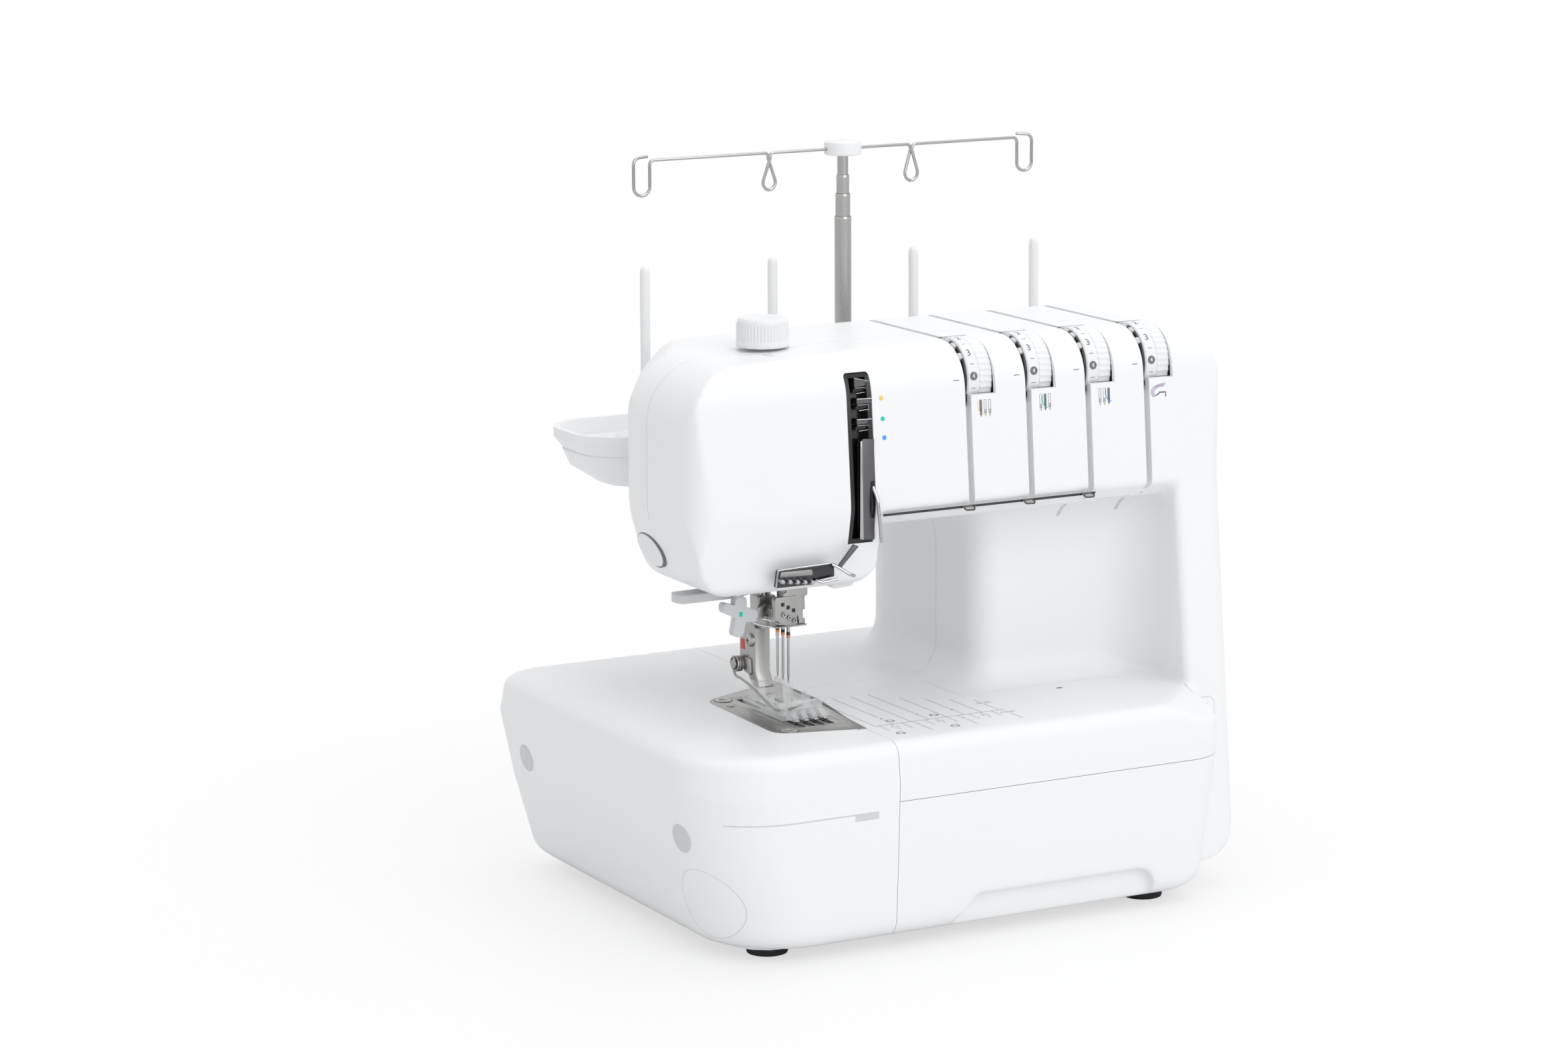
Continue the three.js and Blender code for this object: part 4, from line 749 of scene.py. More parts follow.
# ---------------------------------------------------------------- materials
class Value:
    """A number on its way through a material: the usual signs add Math nodes."""

    def __init__(self, nodes, socket):
        self.nodes, self.socket = nodes, socket

    def work(self, operation, other):
        return self.nodes.add("Math", {"operation": operation}, {0: self, 1: other})

    def __add__(self, other):
        return self.work("ADD", other)

    def __mul__(self, other):
        return self.work("MULTIPLY", other)

    __radd__, __rmul__ = __add__, __mul__


class Nodes:
    """The nodes of a material or of the world."""

    def __init__(self, tree):
        self.tree = tree

    def feed(self, node, sockets):
        """Gives a node's sockets their values or links; a colour may leave out its alpha."""
        for key, value in sockets.items():
            socket = node.inputs[key.replace("_", " ") if isinstance(key, str) else key]
            if isinstance(value, Value):
                self.tree.links.new(value.socket, socket)
            elif socket.type == "RGBA" and len(value) == 3:
                socket.default_value = (*value, 1)
            else:
                socket.default_value = value

    def add(self, kind, settings=None, sockets=None, out=0):
        """Adds a node: its settings first, then the values or links of its sockets."""
        node = self.tree.nodes.new("ShaderNode" + kind)
        for key, value in (settings or {}).items():
            setattr(node, key, value)
        self.feed(node, sockets or {})
        return Value(self, node.outputs[out])

    def close(self, kind, value):
        """Shows a value as the surface of a material or of the world."""
        self.feed(self.tree.nodes[kind + " Output"], {"Surface": value})


class Finish(Nodes):
    """A material and the nodes that feed it."""

    def __init__(self, name, **constants):
        self.material = bpy.data.materials.new(name)
        self.material.use_nodes = True
        super().__init__(self.material.node_tree)
        self.shader = self.tree.nodes["Principled BSDF"]
        self.feed(self.shader, constants)

    def noise(self, size, detail=2, stretch=(1, 1, 1)):
        """Noise whose grains are about size metres across, finer along a stretched axis."""
        place = self.add("Mapping", {}, {"Vector": self.add("TexCoord", out="Object"), "Scale": stretch})
        return self.add("TexNoise", {}, {"Vector": place, "Scale": 1 / size, "Detail": detail})

    def blend(self, factor, a, b):
        """From colour a to colour b."""
        return self.add("Mix", {"data_type": "RGBA"}, {0: factor, 6: a, 7: b}, out=2)

    def bump(self, height, depth):
        """Surface relief, depth in metres."""
        self.feed(self.shader,
                  {"Normal": self.add("Bump", {}, {"Height": height, "Distance": depth, "Strength": 1.0})})

    def surface(self, **inputs):
        """Gives the shader its varying inputs."""
        self.feed(self.shader, inputs)
        return self


def near(colour, factor):
    """A colour made lighter or darker."""
    return tuple(min(c * factor, 1) for c in colour)


def plastic(name, colour, roughness=0.38, grain=0.00035, depth=0.000006, clouding=0.03):
    """Moulded plastic: spark-eroded grain, faint flow clouding and uneven gloss."""
    made = Finish(name, IOR=1.48)
    clouds = made.noise(0.05, 3)
    fine = made.noise(grain, 2)
    rub = made.noise(0.012, 4)
    made.surface(Base_Color=made.blend(clouds, near(colour, 1 - clouding), near(colour, 1 + clouding)),
                 Roughness=rub * 0.12 + (roughness - 0.06) + fine * 0.04)
    made.bump(fine * 0.8 + rub * 0.6, depth)
    return made.material


def brushed(name, colour, roughness=0.3, along=(1, 18, 18), grain=0.0045, depth=0.000004):
    """Brushed or ground metal: long fine lines along one axis over soft stains."""
    made = Finish(name, Metallic=1.0)
    lines = made.noise(grain, 4, along)
    stains = made.noise(0.03, 3)
    made.surface(Base_Color=made.blend(lines * 0.6 + stains * 0.4, near(colour, 0.86), near(colour, 1.12)),
                 Roughness=lines * 0.16 + stains * 0.08 + (roughness - 0.12))
    made.bump(lines, depth)
    return made.material


def polished(name, colour, roughness=0.1):
    """Plated steel: near-mirror with faint ripple and finger haze."""
    made = Finish(name, Metallic=1.0)
    haze = made.noise(0.02, 4)
    ripple = made.noise(0.006, 2)
    made.surface(Base_Color=made.blend(haze, near(colour, 0.93), near(colour, 1.05)),
                 Roughness=haze * 0.10 + (roughness - 0.04))
    made.bump(ripple, 0.00001)
    return made.material


def ink(name, colour, roughness=0.5):
    """Printed mark: slightly uneven ink."""
    made = Finish(name, IOR=1.45)
    spread = made.noise(0.002, 3)
    made.surface(Base_Color=made.blend(spread, near(colour, 0.92), near(colour, 1.06)),
                 Roughness=spread * 0.1 + (roughness - 0.05))
    return made.material


PALETTE = {}


def make_palette(finish):
    """Makes every material once; constant colours are the ones that a user would not change."""
    steel = tuple(finish.steel)
    PALETTE.update({
        "shell": plastic("shell_plastic", tuple(finish.shell), 0.36, clouding=0.008),
        "trim": plastic("trim_plastic", tuple(finish.trim), 0.40, clouding=0.012),
        # grey plastic, also used as painted shade on the arm below two grooves
        "grey": plastic("grey_plastic_and_groove_shade", tuple(finish.grey), 0.42),
        # dark plastic, also used as painted shade in the dial slots
        "dark": plastic("dark_plastic_and_slot_shade", tuple(finish.dark), 0.30, clouding=0.2),
        "rubber": plastic("rubber_feet", (0.022, 0.022, 0.023), 0.75, 0.0006, 0.00003, 0.25),
        "belt": plastic("belt_rubber", (0.014, 0.014, 0.015), 0.7, 0.0005, 0.00004, 0.3),
        "steel": brushed("brushed_steel", steel, 0.34),
        "plate": brushed("satin_plate", near(steel, 0.88), 0.36, along=(22, 1, 22)),
        "mast": brushed("mast_steel", near(steel, 1.1), 0.28, along=(20, 20, 1)),
        "polished_steel": polished("polished_steel", tuple(finish.chrome)),
        "gunmetal": polished("dark_chrome", (0.07, 0.07, 0.073), 0.14),
        "slate": brushed("dark_steel", (0.14, 0.14, 0.145), 0.42, along=(18, 18, 1)),
        "jet": plastic("black_gloss", (0.008, 0.008, 0.009), 0.16, clouding=0.3, grain=0.002),
        "milk": plastic("milky_cover", (0.80, 0.80, 0.81), 0.25, clouding=0.02),
        "cast": brushed("cast_metal", (0.30, 0.31, 0.32), 0.55, (1, 1, 1), 0.0016, 0.00004),
        # print grey, also used as painted shade in the gap round the head's catch
        "print": ink("print_grey", tuple(finish.print_grey)),
        # black ink, also used as painted shade in holes, slots, windows and gaps
        "black": ink("black_ink_and_painted_shade", (0.012, 0.012, 0.013), 0.35),
        "white": ink("print_white", (0.85, 0.85, 0.85), 0.4),
        "yellow": ink("thread_yellow", tuple(finish.left_colour), 0.35),
        "teal": ink("thread_teal", tuple(finish.middle_colour), 0.35),
        "blue": ink("thread_blue", tuple(finish.right_colour), 0.35),
        "red": ink("mark_red", (0.62, 0.05, 0.03), 0.35),
        "violet": ink("thread_violet", (0.42, 0.20, 0.62), 0.35),
        "pink": ink("mark_pink", (0.78, 0.42, 0.72), 0.3),
        "orange": ink("mark_orange", (0.85, 0.25, 0.05), 0.35),
    })
    clear = Finish("clear_plastic", IOR=1.3, Coat_Weight=0.7, Coat_Roughness=0.05)
    haze = clear.noise(0.008, 3)
    clear.surface(Base_Color=clear.blend(haze, (0.88, 0.90, 0.91), (0.97, 0.98, 0.985)),
                  Roughness=haze * 0.08 + 0.06, Alpha=haze * 0.2 + 0.22)
    clear.bump(haze, 0.00002)
    PALETTE["clear"] = clear.material


# the slot that goes with a finish, where its name is no slot of its own
USUAL_SLOT = {"print": "grey", "black": "dark", "gunmetal": "polished_steel", "slate": "polished_steel",
              "mast": "steel", "plate": "steel",
              **dict.fromkeys(("white", "yellow", "teal", "blue", "violet", "pink", "red", "orange"),
                              "trim")}
SLOT_OF = {part["node"]: part["material_slot"] for part in frame["record"]["subparts"]}


# ---------------------------------------------------------------- finishing pieces
def piece(name, body, key, *forms, slot=None, nodes=(), sharp=38):
    """One shown piece from one or more drawn forms, in the named finish; the slot argument is not used."""
    return finish_piece(gather(*forms), name, body, PALETTE[key], sharp,
                        nodes)


def shape_of(node, width=0.0, sharp=30):
    """A fixed part's shape as a merged form, with its edges rounded."""
    bm = bmesh.new()
    bm.from_mesh(frame["nodes"][node].data)
    bmesh.ops.scale(bm, vec=(1 / MM,) * 3, verts=bm.verts[:])
    bmesh.ops.remove_doubles(bm, verts=bm.verts[:], dist=1e-3)
    bmesh.ops.dissolve_limit(bm, angle_limit=math.radians(0.5), verts=bm.verts[:], edges=bm.edges[:])
    return soften(bm, width, sharp=sharp) if width else bm


def dress(node, width=0.25, key=None):
    """Stands a rounded, merged copy in for a fixed part."""
    finish_piece(shape_of(node, width), "made_" + node, frame["nodes"][node]["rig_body"],
                 PALETTE[key or SLOT_OF[node]], nodes=(node,))


def inset_run(corners, t):
    """The outline moved inwards by t, whichever way round it is drawn."""
    turning = sum(a[0] * b[1] - b[0] * a[1] for a, b in zip(corners, corners[1:] + corners[:1]))
    return inset(corners if turning > 0 else corners[::-1], t)


def cut_ring(corners, t, start, end):
    """A flat frame of width t, seen from the front."""
    ring = solid(soften(prism("y", corners, start, end), 0.15, 1))
    return cut(ring, prism("y", inset_run(corners, t), start - 2, end + 2))


FRONT, DOWN, RIGHTWARDS = Vector((0, 1, 0)), Vector((0, 0, -1)), Vector((1, 0, 0))


# ---------------------------------------------------------------- operators
class SERGER_OT_finishes(bpy.types.Operator):
    """Make the materials and give every fixed part its own"""
    bl_idname = "serger.finishes"
    bl_label = "Finishes"

    def execute(self, context):
        make_palette(context.scene.serger_finish)
        for name, made in frame["nodes"].items():
            made.data.materials.clear()
            made.data.materials.append(PALETTE[SLOT_OF[name]])
        return {"FINISHED"}


class SERGER_OT_casing(bpy.types.Operator):
    """Mould the five pieces of the casing"""
    bl_idname = "serger.casing"
    bl_label = "Casing"

    def execute(self, context):
        s = context.scene.serger_casing
        wall, seam = s.wall / MM, s.seam / MM
        width, depth = s.groove_width / MM, s.groove_depth / MM
        outer = casing(0, width, depth)
        soft = outer.modifiers.new("Skin", "REMESH")
        soft.mode, soft.voxel_size = "VOXEL", ((s.fineness / MM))
        smooth = outer.modifiers.new("Soften", "SMOOTH")
        smooth.factor, smooth.iterations = 0.5, s.softness
        settle(outer)
        cut(outer, join(groove_form(0, width, depth), openings()), casing(wall, width, depth))
        low, high = BED - 8, BED + 1
        hole = solid(prism("z", plate_outline(seam), low, high))
        front, back = PLATE["front"] - seam, PLATE["back"] + seam
        side = [(PLATE["right"] - 5, front), (LEFT_SEAM["front"] + 1, front),
                (LEFT_SEAM["front"] + 1, LEFT_SEAM["turn"]), (LEFT_SEAM["back"] + 1, BED_SEAM),
                (LEFT_SEAM["back"] + 1, back), (PLATE["rightBack"] - 5, back)]
        left = cut(cross(twin(outer), left_region(0)), twin(hole), prism("z", side, low, high))
        cut(outer, left_region(seam), hole)
        door = cross(twin(outer), door_region(0))
        cut(outer, door_region(seam), block(LEFT_SEAM["front"] - FAR, BASE["right"] + 2, -FAR,
                                            DOOR_BACK + 1.8, -FAR, 11))
        bed = cross(twin(outer), bed_region(0))
        cut(outer, bed_region(seam))
        front = cross(twin(outer), front_region(0))
        cut(outer, front_region(seam))
        for made, node in ((left, "left_cover"), (door, "front_cover"), (bed, "bed_cover"),
                           (front, "front_shell"), (outer, "rear_shell")):
            body = frame["nodes"][node]["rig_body"]
            finish_piece(made, "casing_" + node, body, PALETTE["shell"], nodes=(node,))
        return {"FINISHED"}


class SERGER_OT_works(bpy.types.Operator):
    """Give the frame, shafts and belts merged copies in their finishes, and round the edges of the feet,
    needle bar, switch and inlet
    """
    bl_idname = "serger.works"
    bl_label = "Frame and drive"

    def execute(self, context):
        for node in ("frame_casting", "motor", "timing_belt", "drive_belt", "main_shaft", "upper_shaft",
                     "motor_pulley", "looper_shaft", "looper", "dial_axle", "base_tray"):
            dress(node, 0)
        low, high, radius = 143.8, 247, 3.3
        bar = lathe([(0, low), (radius, low), (radius, high - 0.4), (radius - 0.4, high), (0, high)],
                    (*PRESSER_BAR, 0), "z", 48)
        piece("presser_bar_shown", "presser_bar", "polished_steel", bar, slot="steel",
              nodes=("presser_bar",))
        for node in ("needle_bar", "foot_front_left", "foot_front_right", "foot_rear_left",
                     "foot_rear_right", "power_switch", "power_inlet"):
            dress(node, 0.4)
        for side in ("left", "middle", "right"):
            dress("needle_" + side, 0)
        return {"FINISHED"}


class SERGER_OT_dials(bpy.types.Operator):
    """Turn the four tension dials, with their number bands and ribbed grips; their dark faces and the dark
    wells round them are painted shade in the slots
    """
    bl_idname = "serger.dials"
    bl_label = "Tension dials"
    ribs, band, at_four = 40, 6.5, math.radians(7)

    def execute(self, context):
        r, width, band = DIAL["radius"], DIAL["width"], self.band
        for k, x in enumerate(DIALS_X):
            body, left = f"tension_dial_{k + 1}", x + DIAL["offset"]
            place = (left, DIAL["y"], DIAL["z"])
            drum = lathe([(3.2, 0), (r - 0.6, 0), (r, 0.5), (r, band - 0.25), (r - 0.3, band - 0.1),
                          (r - 0.3, band + 0.15), (r - 0.6, band + 0.3), (r - 0.6, width), (3.2, width)],
                         axis="x", segments=120, ring=True)
            wheel = [(math.cos(a) * q, math.sin(a) * q) for a, q in
                     ((2 * math.pi * (n + part) / self.ribs, r - 0.15 + rise) for n in range(self.ribs)
                      for part, rise in ((0, 0.1), (0.22, 0.1), (0.4, -0.25), (0.82, -0.25)))]
            grip = soften(prism("x", wheel, band + 0.35, width - 0.1), 0.12, 1)
            piece(f"dial_{k + 1}_drum", body, "trim", *(shift(bm, *place) for bm in (drum, grip)),
                  nodes=(body,), sharp=25)
            # painted shade: a dark face on each drum's left end, beside the groove
            face_shade = lathe([(3.2, 0), (r - 1.2, 0), (r - 1.4, -0.9), (3.2, -0.9)], place, "x", 64, ring=True)
            piece(f"dial_{k + 1}_face", body, "dark", face_shade)
            fins = []
            for angle, reach in ((1.15, 2.6), (0.72, 3.4), (1.5, 3.0)):
                fin = soften(block(-2.6, -0.3, -r + 0.7, -r + 0.7 + reach, -1.6, 1.6), 0.4)
                fins.append(shift(turn(fin, -angle, "X"), *place))
            piece(f"dial_{k + 1}_fins", body, "grey", *fins)
            marks, discs, whites = [], [], []
            middle = band / 2
            for number in range(10):
                angle = self.at_four + (4 - number) * math.pi / 5
                tick = shift(block(-1.25, 1.25, -0.14, 0.14, -0.15, 0.05), middle)
                marks.append(shift(wrap(tick, r, angle - math.pi / 10), *place))
                sign = shift(letters(str(number), 3.1 if number == 4 else 5.2, 0.2), middle)
                if number == 4:
                    disc = shift(spot(0, 0, 2.1, 0.2), middle)
                    discs.append(shift(wrap(disc, r, angle), *place))
                    whites.append(shift(wrap(sign, r, angle, 0.08), *place))
                else:
                    marks.append(shift(wrap(sign, r, angle), *place))
            piece(f"dial_{k + 1}_numbers", body, "print", *marks)
            piece(f"dial_{k + 1}_disc", body, "print", *discs)
            piece(f"dial_{k + 1}_four", body, "white", *whites)
            # painted shade: a dark lining inside the casing round each dial slot
            hollow = lathe([(r + 0.8, -3.2), (r + 1.8, -3.2), (r + 1.8, width + 1.4), (4, width + 1.4),
                            (4, width + 0.6), (r + 0.8, width + 0.6)], place, "x", 64, ring=True)
            keep = cross(solid(hollow), head_form(4))
            finish_piece(keep, f"dial_{k + 1}_well", "machine", PALETTE["dark"])
        return {"FINISHED"}


class SERGER_OT_threading(bpy.types.Operator):
    """Fit the dark thread channel, the bright guides, the strip with its clips and the pin guide"""
    bl_idname = "serger.threading"
    bl_label = "Thread path"

    def execute(self, context):
        self.channel()
        self.strip()
        self.pin_guide()
        return {"FINISHED"}

    def channel(self):
        """The dark channel with its bars, guide wires and bright edge; black blocks under the bars are
        painted shade in the gaps.
        """
        left, right = CHANNEL["left"] + 0.3, CHANNEL["right"] - 0.3
        dress("thread_channel", 0, "jet")
        bars, guides, gap_shades = [], [], []
        for z in (269.5, 261.5, 251.5):
            y = HEAD["front"] + 4.6 + max(z - 262, 0) * 0.35
            lean = 2.4 if z > 265 else 0.6
            bars.append(soften(prism("y", [(left + 5.2, z - 1.6), (right - 0.4, z - 1.4),
                                           (right - 0.4, z + 0.7), (left + 5.2, z + 0.5 + lean)], y - 0.4,
                                     y + 4), 0.25, 1))
            guides.append(wire([(left + 4.6, y + 2.6, z + 0.9 + lean),
                                (left + 5.2, y - 0.6, z + 0.6 + lean), (right - 0.3, y - 0.6, z + 0.9)],
                               0.28))
            guides.append(wire([(left + 5.4, y - 0.5, z - 1.8), (right - 2.2, y - 0.5, z - 1.9),
                                (right - 1.6, y - 0.5, z - 4.2), (left + 6.4, y - 0.3, z - 4.6)], 0.22))
            # painted shade: a black block under each bar, in the gap behind its wire loop
            gap_shades.append(soften(prism("y", [(left + 4.6, z - 4.4, 0.6), (right - 1.6, z - 3.8, 0.8),
                                           (right - 1.2, z - 2.1, 0.6), (left + 5.4, z - 2.2, 0.6)],
                                     y + 0.6, y + 3.8), 0.2, 1))
        piece("channel_bars", "machine", "slate", *bars)
        piece("channel_guides", "machine", "polished_steel", *guides)
        piece("channel_gaps", "machine", "black", *gap_shades)
        y = HEAD["front"] + 1.6
        plate = soften(prism("y", [(left + 7.2, 194, 1.0), (right + 0.2, 193.4), (right, 243),
                                   (left + 6.6, 243.5, 1)], y, y + 2), 0.3)
        edge = soften(prism("y", [(left + 5.0, 194.6, 0.8), (left + 7.0, 194), (left + 6.4, 243),
                                  (left + 5.2, 242.4, 0.6)], y - 0.9, y + 2), 0.3)
        piece("channel_plate", "machine", "slate", plate, slot="steel")
        piece("channel_edge", "machine", "polished_steel", edge, slot="steel")
        wires = [wire([(right - 0.6, -73, 219.5), (right + 0.2, -75.6, 214), (right + 1.2, -76.4, 204),
                       (right + 2.6, -75.8, 192)], 0.8, smooth=True)]
        piece("channel_finger", "machine", "polished_steel", *wires)

    def strip(self):
        """The strip under the dials, a dark block behind it painted as the shadow in the gap under the
        head's front, and its three clips.
        """
        high, front = ARM["lip"] - 1, HEAD["front"]
        strip = soften(block(DIAL["first"] - 50, DIALS_X[2] + 2, front - 0.9, front - 0.3, high - 0.6,
                             high), 0.15, 1)
        # painted shadow: the dark block just behind the strip stands for the shadow in the gap under the
        # head's front
        shade = block(DIAL["first"] - 50, DIALS_X[2] + 2, front - 0.29, front + 0.3, high - 1.3, high - 0.2)
        clips, rims = [], []
        for x in DIALS_X[:3]:
            flat = [(x - 6.9, high - 0.2, 0.3), (x - 4.4, high - 2.6, 0.8), (x + 0.6, high - 2.8, 0.9),
                    (x + 0.8, high - 1.2, 0.8), (x - 1.4, high + 0.2, 0.4)]
            clips.append(soften(prism("y", inset_run(flat, 0.45), front - 1.9, front - 1.0), 0.25, 1))
            rims.append(cut_ring(flat, 0.45, front - 2.1, front - 1.0))
        piece("thread_strip_bar", "machine", "gunmetal", strip, shade, nodes=("thread_strip",))
        piece("thread_strip_clips", "machine", "mast", *clips, slot="polished_steel")
        for n, rim in enumerate(rims):
            finish_piece(rim, f"thread_clip_rim_{n + 1}", "machine", PALETTE["slate"])

    def pin_guide(self):
        """The guide with five pins at the foot of the head, and the trail that leads to it."""
        trail = soften(prism("y", [(-71.8, 182.2, 0.5), (-70.2, 181.8, 0.5), (-60.2, 191.6),
                                   (-62.6, 192.6)], -76.4, -74.2), 0.3)
        piece("channel_trail", "machine", "slate", trail)
        rails = [wire(bent([((-106, -76.6, 175.4), 0), ((-104.8, -76.6, 184.2), 0.8),
                            ((-74, -76.6, 185), 0)]), 0.42),
                 wire([(-84.6, -77.6, 177.6), (-82, -79.2, 176.6), (-73.6, -79.2, 177.4)], 0.75),
                 wire([(-75.6, -77.2, 184.6), (-72.4, -78.8, 182.6), (-67.4, -80.2, 179.2),
                       (-64.8, -80.2, 178.2)], 0.8, smooth=True)]
        piece("pin_guide_rails", "machine", "polished_steel", *rails)
        base = soften(prism("y", [(-105.8, 175.6, 0.6), (-84.8, 175.4, 0.6), (-84.4, 177.2),
                                  (-73.9, 178.2, 0.6), (-74.2, 184.8, 0.6), (-104.6, 184, 0.8)], -76.6,
                            -73.6), 0.3)
        ledge = soften(prism("y", [(-104, 180.6, 0.4), (-86, 180.2, 0.4), (-86.4, 183, 0.4),
                                   (-103.4, 183.2, 0.4)], -77, -76.2), 0.2)
        piece("pin_guide_ledge", "machine", "plate", ledge, slot="polished_steel")
        pins = []
        for n in range(5):
            x, z = -104.6 + 4.05 * n, 179.4 - 0.45 * n
            pins.append(rod("y", (x, -80.2, z), 0.7, 4.5, 16))
            pins.append(lathe([(0, -1.5), (0.9, -1.2), (1.3, 0), (0.9, 1.2), (0, 1.5)], (x, -80.6, z), "y",
                              20))
        piece("pin_guide_base", "machine", "gunmetal", base, nodes=("needle_thread_guide",))
        piece("pin_guide_pins", "machine", "polished_steel", *pins)


class SERGER_OT_stitching(bpy.types.Operator):
    """Make the needle clamp, needle bands, presser shank, spring, clear foot and threader"""
    bl_idname = "serger.stitching"
    bl_label = "Stitching parts"

    shank_side = -89.3

    def execute(self, context):
        self.clamp()
        self.needle_marks()
        self.shank()
        self.spring()
        self.foot()
        self.threader()
        dress("lifter_lever", 0.8)
        return {"FINISHED"}

    def clamp(self):
        """The needle clamp with its screws; black blocks on it are painted shade in its windows."""
        block_back = soften(prism("x", [(-39, 154.6), (-29.6, 154.6, 2), (-29.6, 171.6), (-38, 171.6, 1)],
                                  -80.6, -69.6), 0.4)
        seats = soften(block(-87.2, -71.2, -39, -33, 148.4, 156), 0.4)
        flange = soften(block(-87.4, -70, -41.4, -37, 147.1, 147.9), 0.2, 1)
        plate = soften(prism("y", [(-87.6, 149, 1.2), (-76.4, 147, 1.2), (-75.2, 148, 0.8),
                                   (-75.2, 162.4, 1), (-86.8, 162.4, 1), (-87.6, 161, 0.6)], -41, -37.6),
                       0.3)
        upper = soften(prism("y", [(-82.8, 157.4, 0.6), (-74.4, 152, 0.8), (-73.8, 148, 0.5),
                                   (-70.4, 148, 0.5), (-70.4, 150.4), (-71.6, 151), (-71.6, 160.6, 0.6),
                                   (-69, 162.4, 0.6), (-69, 171, 1), (-80.6, 171.4, 1), (-80.8, 164.4),
                                   (-82.4, 164)], -40.4, -38.9), 0.3)
        piece("needle_clamp_body", "needle_bar", "steel", block_back, seats, flange, plate, upper,
              nodes=("needle_clamp",))
        hole_shades, screws = [], []
        for n in (-1, 0, 1):
            x, drop = NEEDLE["x"] + NEEDLE["pitch"] * n - 0.2, NEEDLE["step"] * n
            # painted shade: black blocks on the plate where the clamp's windows are
            hole_shades.append(soften(block(x - 0.95, x + 0.95, -41.1, -40.6, 156.0 - drop, 157.9 - drop), 0.1,
                                1))
            screw = lathe([(0.55, -0.2), (0.6, -1.1), (1.05, -1.1), (1.25, -0.8), (1.25, 0.2), (0.55, 0.2)],
                          (x + 0.3, -41, 151.9 - drop), "y", 24, ring=True)
            screws.append(screw)
        piece("needle_clamp_windows", "needle_bar", "black", *hole_shades)
        piece("needle_clamp_screws", "needle_bar", "polished_steel", *screws)

    def needle_marks(self):
        """The black and orange bands on the needles."""
        bands, lights = [], []
        for n in (-1, 0, 1):
            x, level = NEEDLE["x"] + NEEDLE["pitch"] * n, 144.6 - NEEDLE["step"] * n
            bands.append(rod("z", (x, NEEDLE["y"], level - 1.1), 0.98, 1.5, 20))
            lights.append(rod("z", (x, NEEDLE["y"], level - 2.4), 0.97, 1.2, 20))
        piece("needle_bands", "needle_bar", "black", *bands)
        piece("needle_marks", "needle_bar", "orange", *lights)

    def shank(self):
        """The presser foot's shank with its screw, and the bracket on its bar."""
        side, front, back, foot, top = self.shank_side, -23.4, -6.8, 113.4, 145
        shank = soften(prism("x", [(front, foot + 9), (front - 4.6, foot + 1, 1),
                                   (front + 2.6, foot + 1, 1), (back, foot + 14, 3), (back, top, 1.5),
                                   (front, top, 1.5)], side, side + 8.4, 6), 0.6, 2)
        collar = lathe([(3.4, 0), (4.6, 0), (4.9, 0.6), (4.9, 5.6), (4.3, 6.2), (3.4, 6.2)],
                       (*PRESSER_BAR, top - 0.4), "z", 40, ring=True)
        tab = soften(prism("x", [(-20.6, 120, 1), (-13.6, 121, 1), (-13.4, 127.6, 1.4), (-19.6, 128.4, 1)],
                           side - 1.4, side + 0.4), 0.4)
        piece("shank_body", "presser_bar", "steel", shank, collar, tab, nodes=("foot_shank",), sharp=30)
        screw = lathe([(0, -2.3), (1.6, -2.2), (2.9, -1.4), (3.5, -0.4), (3.5, 0.4), (0, 0.4)],
                      (side, -19.4, 137.6), "x", 40)
        # painted shade: a black cross on the screw head for the shade in its slot
        cross_slot_shade = [block(side - 2.34, side - 1.9, -20.7, -18.1, 137.3, 137.9),
                     block(side - 2.34, side - 1.9, -19.7, -19.1, 136.3, 138.9)]
        piece("shank_screw", "presser_bar", "mast", screw, slot="polished_steel")
        piece("shank_screw_slot", "presser_bar", "black", *cross_slot_shade)
        piece("shank_mark", "presser_bar", "red",
              soften(block(side - 0.15, side + 0.1, -12.2, -8.2, 131.4, 136.6), 0.08, 1))
        hub = soften(prism("z", [(-89.6, -27, 1), (-79, -27, 1.6), (-79, -16, 1), (-88.4, -16, 1)], 152,
                           160.4), 0.5)
        brace = soften(prism("y", [(-93.4, 150.6, 0.6), (-88.8, 149.4, 0.6), (-85.4, 154, 0.6),
                                   (-86, 157.6, 0.6), (-91, 156, 0.8)], -30.4, -27.8), 0.4)
        piece("bar_bracket", "presser_bar", "steel", hub, brace)

    def spring(self):
        """The foot's wire spring, coiled round its pin."""
        side = self.shank_side
        coil = [(side - 0.6 - 1.2 * n / 12, -9.4 + 3.4 * math.cos(math.tau * n / 12),
                 124 + 3.4 * math.sin(math.tau * n / 12)) for n in range(40)]
        run = [(-93.2, -9, 118.8), (-92.4, -14, 117.4), (-92.2, -21, 116), (-92.4, -34, 112.8),
               (-92.6, -46, 109.8), (-91.4, -52, 108.9), (-84, -51, 108.9), (-76, -47, 108.9)]
        spring = wire(coil + run, 0.62, smooth=True)
        pin = lathe([(0, -5.2), (2, -5.2), (2.4, -4.8), (2.4, -4.4), (1.6, -4), (1.6, 0), (0, 0)],
                    (side, -9.4, 124), "x", 24)
        piece("foot_spring_wire", "presser_bar", "steel", spring, pin, slot="polished_steel",
              nodes=("foot_spring",))

